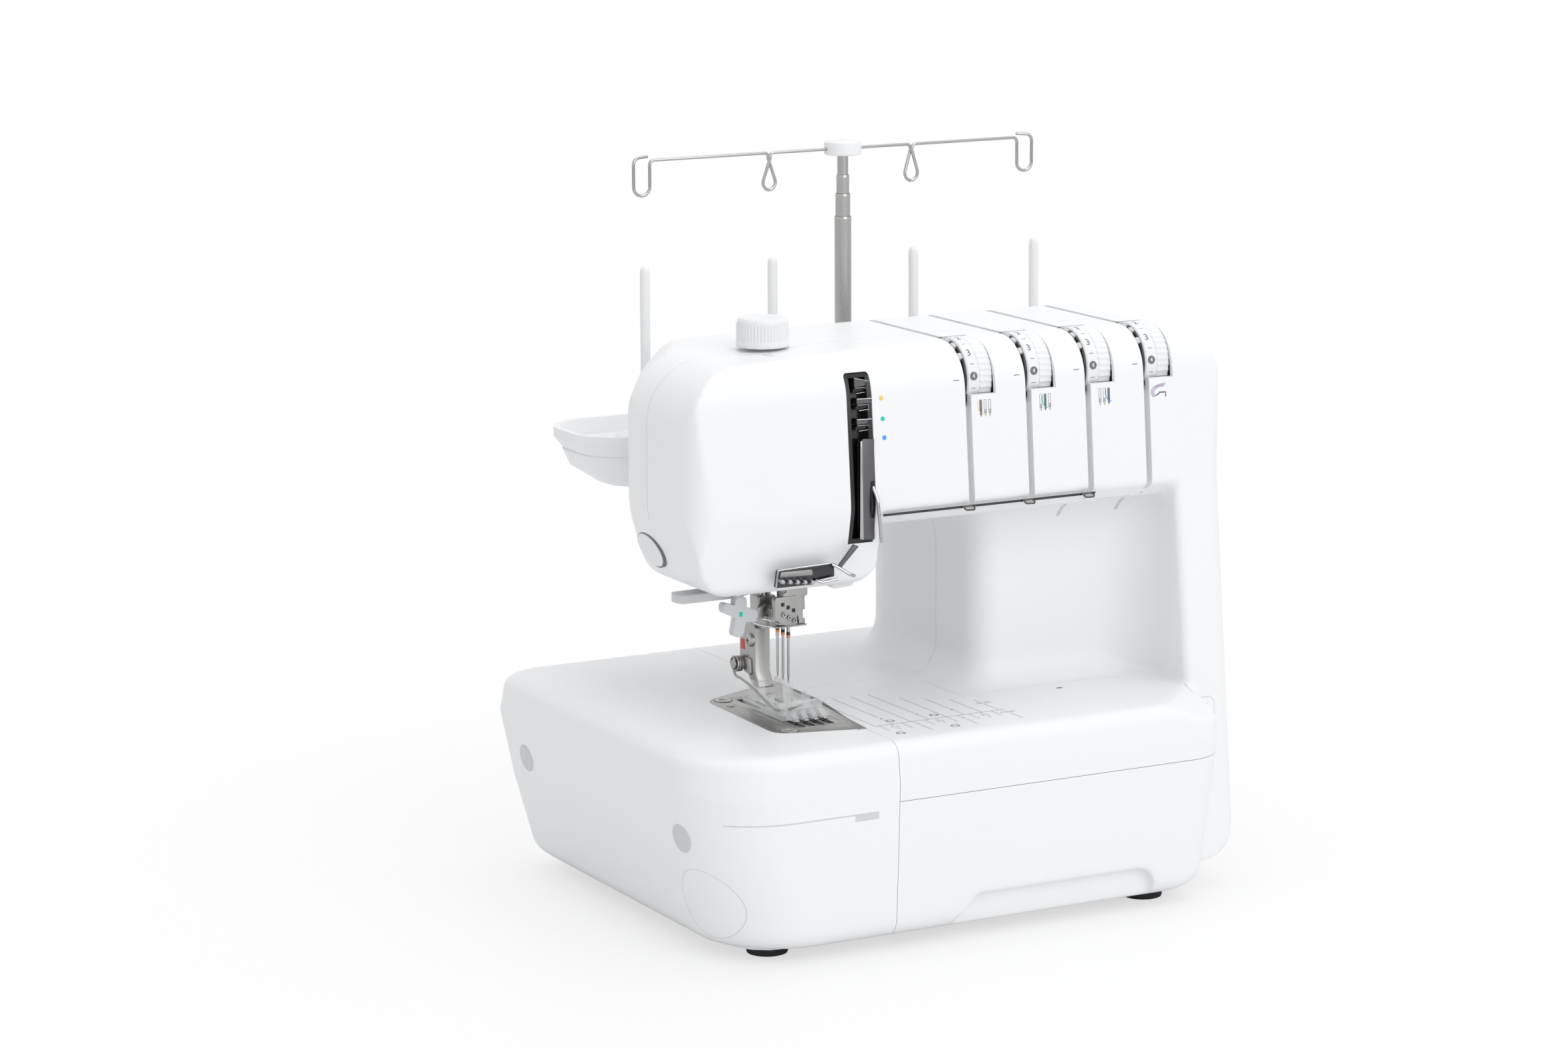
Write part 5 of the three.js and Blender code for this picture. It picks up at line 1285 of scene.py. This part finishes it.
    def foot(self):
        """The clear foot with its ribs, toes and steel tips."""
        toes, tips, posts = [], [], []
        for x in FEED_ROWS:
            tips.append(soften(block(x - 1.3, x + 1.3, -64.6, -62.6, 104.7, 105.9), 0.25))
            toes.append(soften(prism("x", [(-63, 104.9, 0.5), (-55, 104.6), (-55, 107.4), (-59.5, 109.4, 1),
                                           (-63, 106.6, 0.8)], x - 1.5, x + 1.5), 0.3))
        for x, y, tall in ((-90, -40, 6), (-70, -40, 7), (-90, -22, 8), (-70, -22, 8), (-70, -52, 5),
                           (-90, -54, 3)):
            posts.append(soften(block(x - 1.4, x + 1.4, y - 2.6, y + 2.6, 106.8, 107.2 + tall), 0.5))
        bridge = soften(block(-91, -69, -50.6, -47.4, 107, 111.5), 0.6)
        piece("clear_foot", "presser_foot", "clear", shape_of("presser_foot", 0.3), nodes=("presser_foot",))
        piece("clear_foot_toes", "presser_foot", "clear", *toes)
        piece("clear_foot_ribs", "presser_foot", "clear", *posts, bridge)
        piece("clear_foot_tips", "presser_foot", "polished_steel", *tips)

    def threader(self):
        """The needle threader with its wire fingers."""
        piece("threader_arms", "threader", "grey", shape_of("threader", 0.5), nodes=("threader",))
        x, y = THREADER
        fingers = [wire([(x + 6, y - 1, 153), (x + 13, y - 4, 152.6), (x + 18, y - 4.6, 150.4),
                         (x + 21.6, y - 3, 149.6)], 0.35, smooth=True),
                   wire([(x + 6, y - 1, 151.6), (x + 12, y - 3, 149.4), (x + 17, y - 4.4, 148.4),
                         (x + 20, y - 3, 147.8)], 0.35, smooth=True)]
        piece("threader_fingers", "threader", "polished_steel", *fingers)
        piece("threader_mark", "threader", "teal",
              soften(block(x - 0.6, x + 1.2, y - 2.62, y - 2.3, 155.2, 157.4), 0.08, 1))


def screw_head(radius, tall, place):
    """A countersunk screw that faces up, and a dark hexagon in it painted as the shade in its socket."""
    head = lathe([(0, -1.2), (radius, -1.2), (radius, tall - 0.25), (radius - 0.3, tall),
                  (radius * 0.55, tall), (radius * 0.48, tall - 0.5), (0, tall - 0.5)], place, "z", 40)
    hole = rod("z", (place[0], place[1], place[2] + tall - 0.52), radius * 0.46, 0.08, 6)
    return head, hole


class SERGER_OT_plate(bpy.types.Operator):
    """Make the stitch plate with its insert and screws, and the toothed feed dog"""
    bl_idname = "serger.plate"
    bl_label = "Stitch plate and feed"

    def execute(self, context):
        self.plate()
        self.feed()
        return {"FINISHED"}

    def plate(self):
        """The stitch plate, the edge of its insert and its screws."""
        piece("plate_body", "machine", "plate", shape_of("stitch_plate", 0.3), nodes=("stitch_plate",))
        ring = prism("z", [(-94.6, -72.4, 5), (-65.4, -72.4, 5), (-65.4, 2, 5), (-94.6, 2, 5)], BED,
                     BED + 0.12, 10)
        hole = prism("z", [(-94.1, -71.9, 4.6), (-65.9, -71.9, 4.6), (-65.9, 1.5, 4.6), (-94.1, 1.5, 4.6)],
                     BED - 1, BED + 1, 10)
        finish_piece(cut(solid(ring), hole), "plate_insert_edge", "machine", PALETTE["mast"])
        heads, hole_shades = [], []
        for x, y, radius in ((-95.9, -1.5, 4.4), (-97.7, -74.1, 4.4), (-98.6, -14.9, 1.6)):
            head, hole = screw_head(radius, 0.3, (x, y, BED))
            heads.append(head)
            hole_shades.append(hole)
            # painted shadow: a black ring round each screw head for the gap round it
            hole_shades.append(lathe([(radius, 0.02), (radius + 0.4, 0.02), (radius + 0.4, 0.12), (radius, 0.12)],
                               (x, y, BED), "z", 48, ring=True))
        heads.append(lathe([(0, -1), (2.2, -1), (2.2, 0.3), (1.8, 0.7), (0, 0.9)], (-58.5, -25.5, BED), "z",
                           32))
        piece("plate_screws", "machine", "steel", *heads)
        piece("plate_screw_holes", "machine", "black", *hole_shades)

    def feed(self):
        """The feed dog: toothed bars on a carrier."""
        bars = []
        rows = [(FEED["front"], NEEDLE["y"] - FEED["waist"]), (NEEDLE["y"] + FEED["waist"], FEED["back"])]
        for x in FEED_ROWS:
            for start, end in rows:
                y0, y1 = start + 2.6, end - 2.6
                count = int((y1 - y0) / 1.3)
                pitch = (y1 - y0) / count
                edge = [(y1 - pitch * (m + part), BED - (0.3 if part else 1.1)) for m in range(count)
                        for part in (0, 0.55)]
                bars.append(prism("x", [(y0, 98), (y1, 98), *edge, (y0, BED - 1.1)], x - 1.2, x + 1.2))
        low, high = FEED_ROWS[0] - 1.5, FEED_ROWS[-1] + 1.5
        carrier = cut(solid(block(low, high, FEED["front"] + 2.6, FEED["back"] - 2.6, 96, 98.1)),
                      block(NEEDLE["x"] - 5.5, NEEDLE["x"] + 5.5, NEEDLE["y"] - 6, NEEDLE["y"] + 6, 90,
                            110))
        finish_piece(carrier, "feed_carrier", "feed_dog", PALETTE["steel"])
        piece("feed_teeth", "feed_dog", "gunmetal", *bars, slot="steel", nodes=("feed_dog",))


class SERGER_OT_marks(bpy.types.Operator):
    """Print the bed scale, the needle pictures, the index marks and the coloured dots"""
    bl_idname = "serger.marks"
    bl_label = "Printed marks"

    def execute(self, context):
        self.scale()
        skin = skin_of("casing_front_shell")
        self.pictures(skin)
        self.head_marks(skin)
        return {"FINISHED"}

    def scale(self):
        """The ruler on the bed: centimetres behind its line, quarter inches before it."""
        line, thin, figure, short, long, gap = -86.5, 0.22, 3.4, 3, 11, 7.6
        lines, signs = [stroke([(-57, line), (14.6, line)], thin)], []

        def rule(x, *ends):
            lines.extend(stroke([(x, start), (x, end)], thin) for start, end in zip(ends[::2], ends[1::2]))

        backs = {-57: -26, -47: -26, -37: -26, -27: -26, -17: -40, -7: -47.5, 3: -55, 13: -62}
        for n, (x, back) in enumerate(backs.items()):
            if n % 2:
                last = x == 13
                middle = line + (17 if last else 12)
                rule(x, line, middle - 2, middle + 2.4, back)
                sign = letters("10 cm" if last else str(n + 3), figure, 0.1)
                signs.append(shift(sign, x + (1 if last else 0), middle))
            else:
                rule(x, line, back)
        for n in range(12):
            x = 14.6 - 6.35 * n
            if n % 2:
                rule(x, line, line - long)
                continue
            whole = n % 4 == 0
            rule(x, line, line - short, line - gap, line - (20 if whole else long))
            word = ("4 inch" if n == 0 else str(4 - n // 4)) if whole else f"{3 - n // 4}½"
            signs.append(shift(letters(word, figure, 0.1), x, line - 5.3))
        piece("bed_scale", "machine", "print", *(shift(bm, z=BED) for bm in lines + signs))
        # the bed screws' dark hexagons are painted shade in their sockets
        heads, hole_shades = zip(*(screw_head(2.6, 0.15, (*place, BED)) for place in
                             ((-45.3, -80.4), (-20.4, -80.1), (-53, -104.4), (-22.6, -104.3))))
        piece("bed_screws", "machine", "mast", *heads)
        piece("bed_screw_holes", "machine", "black", *hole_shades)

    def pictures(self, skin):
        """Under each dial, the thread that it tightens: a needle of three, or the looper."""
        outlines, fills = [], []
        colours = ("yellow", "teal", "blue")
        for dial, x in enumerate(DIALS_X[:3]):
            for n in range(3):
                u, top, low = x + 6.9 + 2.55 * n, 256.6, 248.3
                shape = [(u - 0.6, low + 2.6), (u - 0.42, low + 1.2), (u, low), (u + 0.42, low + 1.2),
                         (u + 0.6, low + 2.6), (u + 0.6, top), (u - 0.6, top)]
                outlines.append(stroke(shape, 0.24, closed=True))
                outlines.append(stroke([(u - 0.25, low + 1.7), (u + 0.25, low + 1.7), (u + 0.25, low + 3.4),
                                        (u - 0.25, low + 3.4)], 0.3, closed=True))
                if n == dial:
                    fills.append(prism("z", shape, -0.2, 0.05))
            u = x + 6.9 + 2.55 * dial
            thread = stroke([(u - 1.7, 256.2), (u - 1.5, 253), (u - 0.6, 250.9), (u + 0.6, 250),
                             (u + 1.5, 250.1)], 0.42, smooth=True)
            piece(f"picture_thread_{dial + 1}", "machine", colours[dial], lay(upright(thread), skin, FRONT),
                  slot="trim")
        x = DIALS_X[3]
        for sweep in ([(11.3, 256.3), (6.2, 255.6), (3.3, 254), (2.6, 252), (3.9, 249.9)],
                      [(10.3, 255), (6.7, 254.6), (4.7, 253.2), (4.3, 251.6), (5.1, 250.2)]):
            outlines.append(stroke([(x + u, v) for u, v in sweep], 0.3, smooth=True))
        fills.append(stroke([(x + 5.5, 250.4), (x + 7.8, 252), (x + 11.2, 251.9), (x + 11.1, 249.7)], 0.8))
        piece("picture_lines", "machine", "print", *(lay(upright(bm), skin, FRONT) for bm in outlines))
        piece("picture_fills", "machine", "print", *(lay(upright(bm), skin, FRONT) for bm in fills))
        purple = stroke([(x + 11, 255.7), (x + 6.4, 255.1), (x + 4, 253.6), (x + 3.4, 252), (x + 4.6, 250)],
                        0.4, smooth=True)
        piece("picture_thread_4", "machine", "violet", lay(upright(purple), skin, FRONT))

    def head_marks(self, skin):
        """The dials' index marks, the thread dots and the marks round the pressure knob."""
        marks = [stroke([(x - 7.8, 267.1), (x - 4.7, 267.1)], 0.4) for x in DIALS_X]
        piece("index_marks", "machine", "print", *(lay(upright(bm), skin, FRONT) for bm in marks))
        for key, u, v in (("yellow", -44.7, 262.0), ("teal", -44.2, 252.0), ("blue", -43.7, 242.8)):
            piece("dot_" + key, "machine", key, lay(upright(spot(u, v, 1.15, 0.16)), skin, FRONT),
                  slot="trim")
        knob = [stroke([(-103.5, -9.5), (-98.5, -10.8)], 0.35),
                stroke([(-98.6, -19.4), (-94.6, -20.4)], 0.3),
                stroke([(-104.6, -1.5), (-102, 0.6), (-99.4, -0.2)], 0.35),
                stroke([(-113.6, -16.8), (-112.8, -22.4), (-107.6, -22.6)], 0.6),
                stroke([(-107.2, -15.8), (-104.4, -18.4), (-101.8, -17.4), (-104.6, -15.2)], 0.6,
                       closed=True),
                stroke([(-91.5, -37.2), (-91, -41.4), (-88.6, -42.4)], 0.3),
                stroke([(-88.2, -36.6), (-88, -38.4)], 0.35)]
        piece("knob_marks", "machine", "print", *(lay(bm, skin, DOWN) for bm in knob))
        plus = [stroke([(134.4 - 1.6, 91.9), (134.4 + 1.6, 91.9)], 0.3),
                stroke([(134.4, 90.1), (134.4, 93.7)], 0.3)]
        piece("plus_mark", "machine", "print", *(lay(upright(bm), skin, FRONT) for bm in plus))


class SERGER_OT_stand(bpy.types.Operator):
    """Make the tray, the spool pins, the brushed mast and the guide bar"""
    bl_idname = "serger.stand"
    bl_label = "Spool stand"

    def execute(self, context):
        self.tray()
        self.mast()
        self.guide_bar()
        return {"FINISHED"}

    def tray(self):
        """The tray and its four spool pins."""
        piece("tray", "machine", "shell", shape_of("spool_tray", 0.7, 25), nodes=("spool_tray",), sharp=30)
        for n, x in enumerate(PINS):
            low = 225.8
            turned = lathe([(0, low), (15.2, low), (15.6, low + 0.4), (15.6, low + 1.8), (15.1, low + 2.5),
                            (12.6, low + 3.6), (5.4, low + 4.7), (4.1, low + 5.6), (3.4, low + 7.4),
                            (2.7, low + 9), (2.5, low + 11), (2.5, 309.6), (2.35, 311.6), (1.8, 312.8),
                            (0.9, 313.3), (0, 313.4)], (x, STAND_Y, 0), "z", 48)
            ribs = []
            for quarter in range(4):
                rib = soften(block(2, 5.6, -0.5, 0.5, low + 4, low + 12), 0.3)
                ribs.append(shift(turn(rib, math.pi / 4 + quarter * math.pi / 2, "Z"), x, STAND_Y))
            piece(f"spool_pin_{n + 1}_turned", "machine", "trim", turned, *ribs,
                  nodes=(f"spool_pin_{n + 1}",), sharp=45)

    def mast(self):
        """The four tubes of the mast and the socket that holds them."""
        tubes = (("mast_base_tube", "machine", 4.3, 226, 332),
                 ("mast_middle_tube", "mast_middle", 3.8, 229, 343.7),
                 ("mast_upper_tube", "mast_upper", 3.3, 232, 353.3),
                 ("mast_top_tube", "mast_top", 2.8, 235, 363.4))
        for node, body, radius, low, high in tubes:
            inner = radius - 0.3
            if node == "mast_top_tube":
                profile = [(0, low), (radius, low), (radius, high), (0, high)]
            else:
                profile = [(0, low), (radius, low), (radius, high - 1.8), (radius + 0.12, high - 1.5),
                           (radius + 0.12, high - 1.1), (radius, high - 0.8), (radius, high - 0.2),
                           (radius - 0.15, high), (inner, high), (inner, low + 1.5), (0, low + 1.5)]
            piece(node + "_turned", body, "mast", lathe(profile, (MAST_X, STAND_Y, 0), "z", 48),
                  nodes=(node,), sharp=50)
        collar = lathe([(4.5, 225.6), (9, 225.6), (9.2, 226.2), (8.6, 228.4), (6.6, 231.6), (5.8, 236.5),
                        (5.2, 237.2), (4.5, 237.2)], (MAST_X, STAND_Y, 0), "z", 48, ring=True)
        piece("mast_socket", "machine", "shell", collar)

    def guide_bar(self):
        """The wire bar with its loops, and the cap on the mast."""
        z, y, wire_size = BAR["z"], STAND_Y, BAR["wire"]
        runs = []
        for x, out in ((BAR["left"], -1), (BAR["right"], 1)):
            near_loop = -29.6 if out < 0 else 53.6
            start, far = near_loop + 2.1 * out, x - 0.6 * out
            hook = [((near_loop, y, z - 3), 0), ((start - 0.9 * out, y, z), 2.2), ((far, y, z), 2.6),
                    ((far, y, z - 17.6), 4.4), ((far + 9 * out, y, z - 17.6), 4.4),
                    ((far + 9 * out, y, z + 1.2), 3.4), ((far + 0.5 * out, y + 1.6, z + 1.8), 0)]
            runs.append(wire(bent(hook, 8), wire_size, around=3))
            teardrop = [((near_loop + 0.3 * out, y + 0.9, z - 2.2), 0),
                        ((near_loop - 5.2 * out, y, z - 19), 4.1),
                        ((near_loop + 5.2 * out, y, z - 19), 4.1),
                        ((near_loop - 0.3 * out, y - 0.9, z - 2.2), 0)]
            runs.append(wire(bent(teardrop, 10), wire_size, around=3))
            runs.append(wire(bent([((near_loop, y, z - 3), 0), ((near_loop - 1.3 * out, y, z), 2.2),
                                   ((MAST_X, y, z), 0)], 8), wire_size, around=3))
        piece("guide_bar_wire", "guide_bar", "polished_steel", *runs, nodes=("guide_bar",), sharp=60)
        low, high, r = z - 3.1, z + 3.7, BAR["cap"]
        cap = lathe([(0, low), (r - 0.5, low), (r, low + 0.5), (r, high - 0.9), (r - 0.3, high - 0.25),
                     (r - 0.9, high), (0, high)], (MAST_X, y, 0), "z", 64)
        piece("guide_bar_cap", "guide_bar", "trim", cap)


def fluted(radius, depth, count, low, high, axis="z", centre=(0, 0, 0)):
    """A grip whose side is cut with flutes, drawn from a wavy outline."""
    outline = [(math.cos(a) * q, math.sin(a) * q) for a, q in
               ((math.tau * (n + part) / count, radius - fall) for n in range(count)
                for part, fall in ((0, 0), (0.3, 0), (0.5, depth), (0.8, depth)))]
    bm = prism("z", outline, low, high)
    return aim(bm, AXIS[axis], centre)


class SERGER_OT_controls(bpy.types.Operator):
    """Make the pressure knob, the handwheel and the two side dials"""
    bl_idname = "serger.controls"
    bl_label = "Knobs and handwheel"

    def execute(self, context):
        self.pressure_knob()
        self.handwheel()
        self.side_dials()
        return {"FINISHED"}

    def pressure_knob(self):
        """The fluted knob on top of the head."""
        x, y = PRESSER_BAR
        knob = lathe([(0, 258), (4, 258), (4, 284.2), (12.9, 284.2), (13.1, 284.6), (13.0, 286.8),
                      (12.2, 288.2), (12.1, 294.4), (12.5, 295.6), (12.2, 297.0), (11.4, 298.0),
                      (10.2, 298.3), (9.4, 298.2), (0, 297.9)], (x, y, 0), "z", 96)
        grip = soften(fluted(12.85, 0.45, 48, 286.9, 295.4, centre=(x, y, 0)), 0.12, 1)
        piece("pressure_knob_grip", "pressure_knob", "trim", knob, grip, nodes=("pressure_knob",), sharp=32)

    def handwheel(self):
        """The handwheel and its mark."""
        left, place = 152.6, (0, *MAIN_SHAFT)
        rim = lathe([(5.3, left), (27.6, left), (31.6, left + 1.0), (32.9, left + 3.2), (32.9, left + 8.6),
                     (31.4, left + 11.4), (28.4, left + 13.0), (26, left + 12.6), (23.4, left + 9.6),
                     (12.4, left + 8.8), (11.2, left + 10.4), (10.8, left + 13.4), (9.8, left + 14.3),
                     (0, left + 14.4), (0, left + 9.4), (5.3, left + 9.3)], place, "x", 96)
        grip = soften(fluted(33, 0.8, 60, left + 3.4, left + 8.6, "x", place), 0.15, 1)
        piece("handwheel_rim", "main_shaft", "trim", rim, grip, nodes=("handwheel",), sharp=32)
        mark = soften(block(left + 13.05, left + 13.4, MAIN_SHAFT[0] - 0.5, MAIN_SHAFT[0] + 0.5,
                            MAIN_SHAFT[1] + 25.6, MAIN_SHAFT[1] + 29), 0.1, 1)
        piece("handwheel_mark", "main_shaft", "print", mark)

    def side_dials(self):
        """The two dials on the right wall and the marks round them."""
        for name, body, centre in (("stitch_length", "stitch_length_dial", SIDE_DIAL["stitch"]),
                                   ("differential", "differential_dial", SIDE_DIAL["feed"])):
            left, place = 153.5, (0, centre, SIDE_DIAL["z"])
            stem = lathe([(0, 142), (3.4, 142), (3.4, left + 0.2), (14.6, left + 0.2), (14.8, left + 0.8),
                          (14.6, left + 2.2), (13.4, left + 2.8), (13.3, left + 6.6), (12.6, left + 7.6),
                          (11.2, left + 8), (0, left + 7.8)], place, "x", 72)
            grip = soften(fluted(13.9, 0.5, 36, left + 2.8, left + 6.6, "x", place), 0.12, 1)
            piece(name + "_knob", body, "trim", stem, grip, nodes=(body,), sharp=32)
            skin = skin_of("casing_front_shell" if centre < 0 else "casing_rear_shell")
            ticks = []
            for n in range(9):
                tick = block(0, 0.3, 15.9, 18.4 if n % 4 == 0 else 17.4, -0.15, 0.15)
                shift(turn(tick, math.radians(150 - 15 * n), "X"), 0, centre, SIDE_DIAL["z"])
                ticks.append(lay(tick, skin, -RIGHTWARDS))
            piece(name + "_scale", "machine", "print", *ticks)


class SERGER_OT_trim(bpy.types.Operator):
    """Fit the small covers, the oval catch, the bed's thread guide and the lamp in the arm"""
    bl_idname = "serger.trim"
    bl_label = "Small covers"

    def execute(self, context):
        skin = skin_of("casing_left_cover")
        for n, (y, z) in enumerate(((86.4, 63.6), (-84.7, 61.3))):
            plug = shift(turn(soften(spot(0, 0, 7, 0.9, 48), 0.3), -math.pi / 2, "Y"), 0, y, z)
            piece(f"side_plug_{n + 1}", "left_cover", "grey", lay(plug, skin, RIGHTWARDS))
        guide = (110, -66, BED - 3)
        collar = lathe([(2.2, -1.5), (4.4, -1.5), (4.4, 0.1), (4.0, 0.3), (2.2, 0.3)], guide, "z", 40,
                       ring=True)
        piece("bed_guide_ring", "machine", "pink", collar)
        cup = lathe([(0.8, -1.2), (1.2, 0.2), (1.8, 1.2), (2.4, 1.6), (3.0, 1.2), (3.2, 0.2), (2.2, -1.2)],
                    guide, "z", 40, ring=True)
        piece("bed_guide_cup", "machine", "polished_steel", cup)
        # the dark ring round the catch is partly its gap line and partly painted shade in that gap
        for name, key, grow, step in (("head_catch_gap", "print", 0.5, 0.6), ("head_catch", "trim", 0, 0)):
            oval = lathe([(0, -1.4), (8 + grow, -1.4), (8 + grow, 0), (7.4 + grow, 0.9 - step),
                          (6, 1.2 - step), (0, 1.3 - step)], (0, 0, 0), "z", 64)
            bmesh.ops.scale(oval, vec=(1.75, 0.92, 1), verts=oval.verts[:])
            for degrees, axis in ((90, "Z"), (-103, "Y"), (12, "X")):
                turn(oval, math.radians(degrees), axis)
            piece(name, "machine", key, shift(oval, -144.4, -20, 188.5), slot="trim")
        slot_line = [stroke([(-152, 71.6), (-75, 71.6)], 0.8),
                     prism("z", [(-88, 68.2, 0.4), (-75, 68.2, 0.4), (-75, 71.6), (-88, 71.6)], -0.15,
                           0.05)]
        piece("cover_slot", "left_cover", "grey", *(lay(upright(bm), skin, FRONT) for bm in slot_line))
        ring = [(17.5 * math.cos(a), 17.5 * math.sin(a)) for a in (math.tau * n / 48 for n in range(48))]
        outline = turn(stroke(ring, 0.35, closed=True), -math.pi / 2, "Y")
        piece("cover_cap_edge", "left_cover", "grey", lay(shift(outline, 0, -92, 29.5), skin, RIGHTWARDS))
        body = skin_of("casing_front_shell")
        panel = stroke([(127.7, 80), (127.7, 94), (129.6, 97), (136.6, 97), (138.5, 94.6), (138.5, 80)],
                       0.45)
        piece("leg_panel_edge", "machine", "grey", lay(upright(panel), body, FRONT))
        # painted shade: flat grey strips down the arm below the two right-hand grooves
        groove_shades = [stroke([(x + 0.2, 205.5), (x + 0.2, 188.5)], 2.2) for x in DIALS_X[2:]]
        piece("arm_folds", "machine", "grey", *(lay(upright(bm), body, FRONT) for bm in groove_shades))
        # painted shade: a black block for the shade inside the bed's slit
        slit_shade = soften(block(62.6, 65.6, -61, -59.6, BED - 0.4, BED + 0.12), 0.1, 1)
        piece("bed_slit", "machine", "black", slit_shade)
        shade = soften(prism("y", [(-67.5, 172), (-64.2, 167.6, 2.6), (-54, 168.2, 2.6), (-50.8, 172)],
                             -58.4, -42.6), 0.9, 3)
        piece("lamp_shade", "machine", "milk", shade, slot="clear", nodes=("lamp_cover",))
        lamp = prism("z", [(78.8, 197.9, 0.6), (99.8, 197.9, 0.8), (102, 199.8, 0.4), (80.8, 199.8, 0.8)],
                     -0.15, 0.05)
        piece("arm_lamp", "machine", "gunmetal", lay(upright(lamp), body, FRONT), slot="dark")
        return {"FINISHED"}


class SERGER_OT_stage(bpy.types.Operator):
    """Set up the floor, the soft lights and the camera"""
    bl_idname = "serger.stage"
    bl_label = "Stage"

    def execute(self, context):
        scene = context.scene
        scene.view_settings.view_transform = "Standard"
        self.room(scene, scene.serger_stage)
        self.floor()
        self.lamps(scene, scene.serger_stage)
        self.camera(scene)
        return {"FINISHED"}

    def room(self, scene, s):
        """Even light from all round, and white where the camera sees it."""
        world = bpy.data.worlds.new("studio")
        scene.world = world
        world.use_nodes = True
        air = Nodes(world.node_tree)
        camera_ray, glossy_ray, clear_ray = (air.add("LightPath", out=f"Is {kind} Ray")
                                             for kind in ("Camera", "Glossy", "Transmission"))
        shown = camera_ray.work("MAXIMUM", glossy_ray).work("MAXIMUM", clear_ray)
        room = air.add("Background", {}, {"Color": ROOM_WHITE, "Strength": s.fill})
        backdrop = air.add("Background", {}, {"Color": (1, 1, 1), "Strength": 1})
        air.close("World", air.add("MixShader", {}, {0: shown, 1: room, 2: backdrop}))

    def floor(self):
        """The floor, which turns white away from the machine."""
        bm = bmesh.new()
        bmesh.ops.create_circle(bm, cap_ends=True, segments=96, radius=FLOOR_RADIUS / MM)
        floor = solid(bm)
        floor.name = floor.data.name = "floor"
        floor.data.transform(Matrix.Scale(MM, 4))
        ground = Finish("floor_paper", Roughness=0.5, Base_Color=(0.9, 0.9, 0.905), Specular_IOR_Level=0.35)
        spread = ground.noise(0.4, 2)
        ground.surface(Roughness=spread * 0.05 + 0.42)
        glow = ground.add("Emission", {}, {"Color": (1, 1, 1), "Strength": 1.0})
        away = ground.add("VectorMath", {"operation": "LENGTH"}, {0: ground.add("TexCoord", out="Object")},
                          out="Value")
        fade = ground.add("MapRange", {"interpolation_type": "SMOOTHSTEP"},
                          {"Value": away, "From_Min": 0.15, "From_Max": 0.6, "To_Min": 0.62, "To_Max": 1.0})
        camera_ray = ground.add("LightPath", out="Is Camera Ray")
        paper = Value(ground, ground.shader.outputs[0])
        ground.close("Material", ground.add("MixShader", {}, {0: fade * camera_ray, 1: paper, 2: glow}))
        floor.data.materials.append(ground.material)

    def lamps(self, scene, s):
        """The two soft lamps."""
        for name, power, place, target in (("key", s.key_power, (0.3, -1.9, 1.2), (0, 0, 0.15)),
                                           ("top", s.top_power, (0.2, 0.1, 1.9), (0, 0, 0.1))):
            lamp = bpy.data.lights.new(name, "AREA")
            lamp.energy, lamp.size = power, LAMP_SIZE
            light = bpy.data.objects.new(name, lamp)
            light.location = place
            light.rotation_euler = (Vector(place) - Vector(target)).to_track_quat("Z", "Y").to_euler()
            scene.collection.objects.link(light)

    def camera(self, scene):
        """The camera."""
        lens = bpy.data.cameras.new("camera")
        lens.sensor_width, lens.lens, lens.clip_end = 36, CAMERA["lens"], 50
        camera = bpy.data.objects.new("camera", lens)
        camera.location = CAMERA["place"]
        camera.rotation_euler = [math.radians(a) for a in CAMERA["turn"]]
        scene.collection.objects.link(camera)
        scene.camera = camera


class SERGER_PT_panel(bpy.types.Panel):
    """Sizes, colours and the build steps of the serger"""
    bl_label = "Serger"
    bl_idname = "SERGER_PT_panel"
    bl_space_type = "VIEW_3D"
    bl_region_type = "UI"
    bl_category = "Serger"

    def draw(self, context):
        for name in ("serger_casing", "serger_finish", "serger_stage"):
            group = getattr(context.scene, name)
            box = self.layout.box()
            for prop in group.bl_rna.properties:
                if prop.identifier not in ("rna_type", "name"):
                    box.prop(group, prop.identifier)
        for operator in OPERATORS:
            self.layout.operator(operator.bl_idname)


OPERATORS = (SERGER_OT_finishes, SERGER_OT_casing, SERGER_OT_works, SERGER_OT_dials, SERGER_OT_threading,
             SERGER_OT_stitching, SERGER_OT_plate, SERGER_OT_marks, SERGER_OT_stand, SERGER_OT_controls,
             SERGER_OT_trim, SERGER_OT_stage)
GROUPS = {"serger_casing": CasingSettings, "serger_finish": FinishSettings, "serger_stage": StageSettings}


def register():
    for made in (*GROUPS.values(), *OPERATORS, SERGER_PT_panel):
        bpy.utils.register_class(made)
    for name, group in GROUPS.items():
        setattr(bpy.types.Scene, name, bpy.props.PointerProperty(type=group))


def unregister():
    for name in GROUPS:
        delattr(bpy.types.Scene, name)
    for made in (SERGER_PT_panel, *reversed(OPERATORS), *reversed(list(GROUPS.values()))):
        bpy.utils.unregister_class(made)


def main():
    register()
    for operator in OPERATORS:
        family, name = operator.bl_idname.split(".")
        getattr(getattr(bpy.ops, family), name)()


if __name__ == "__main__":
    main()
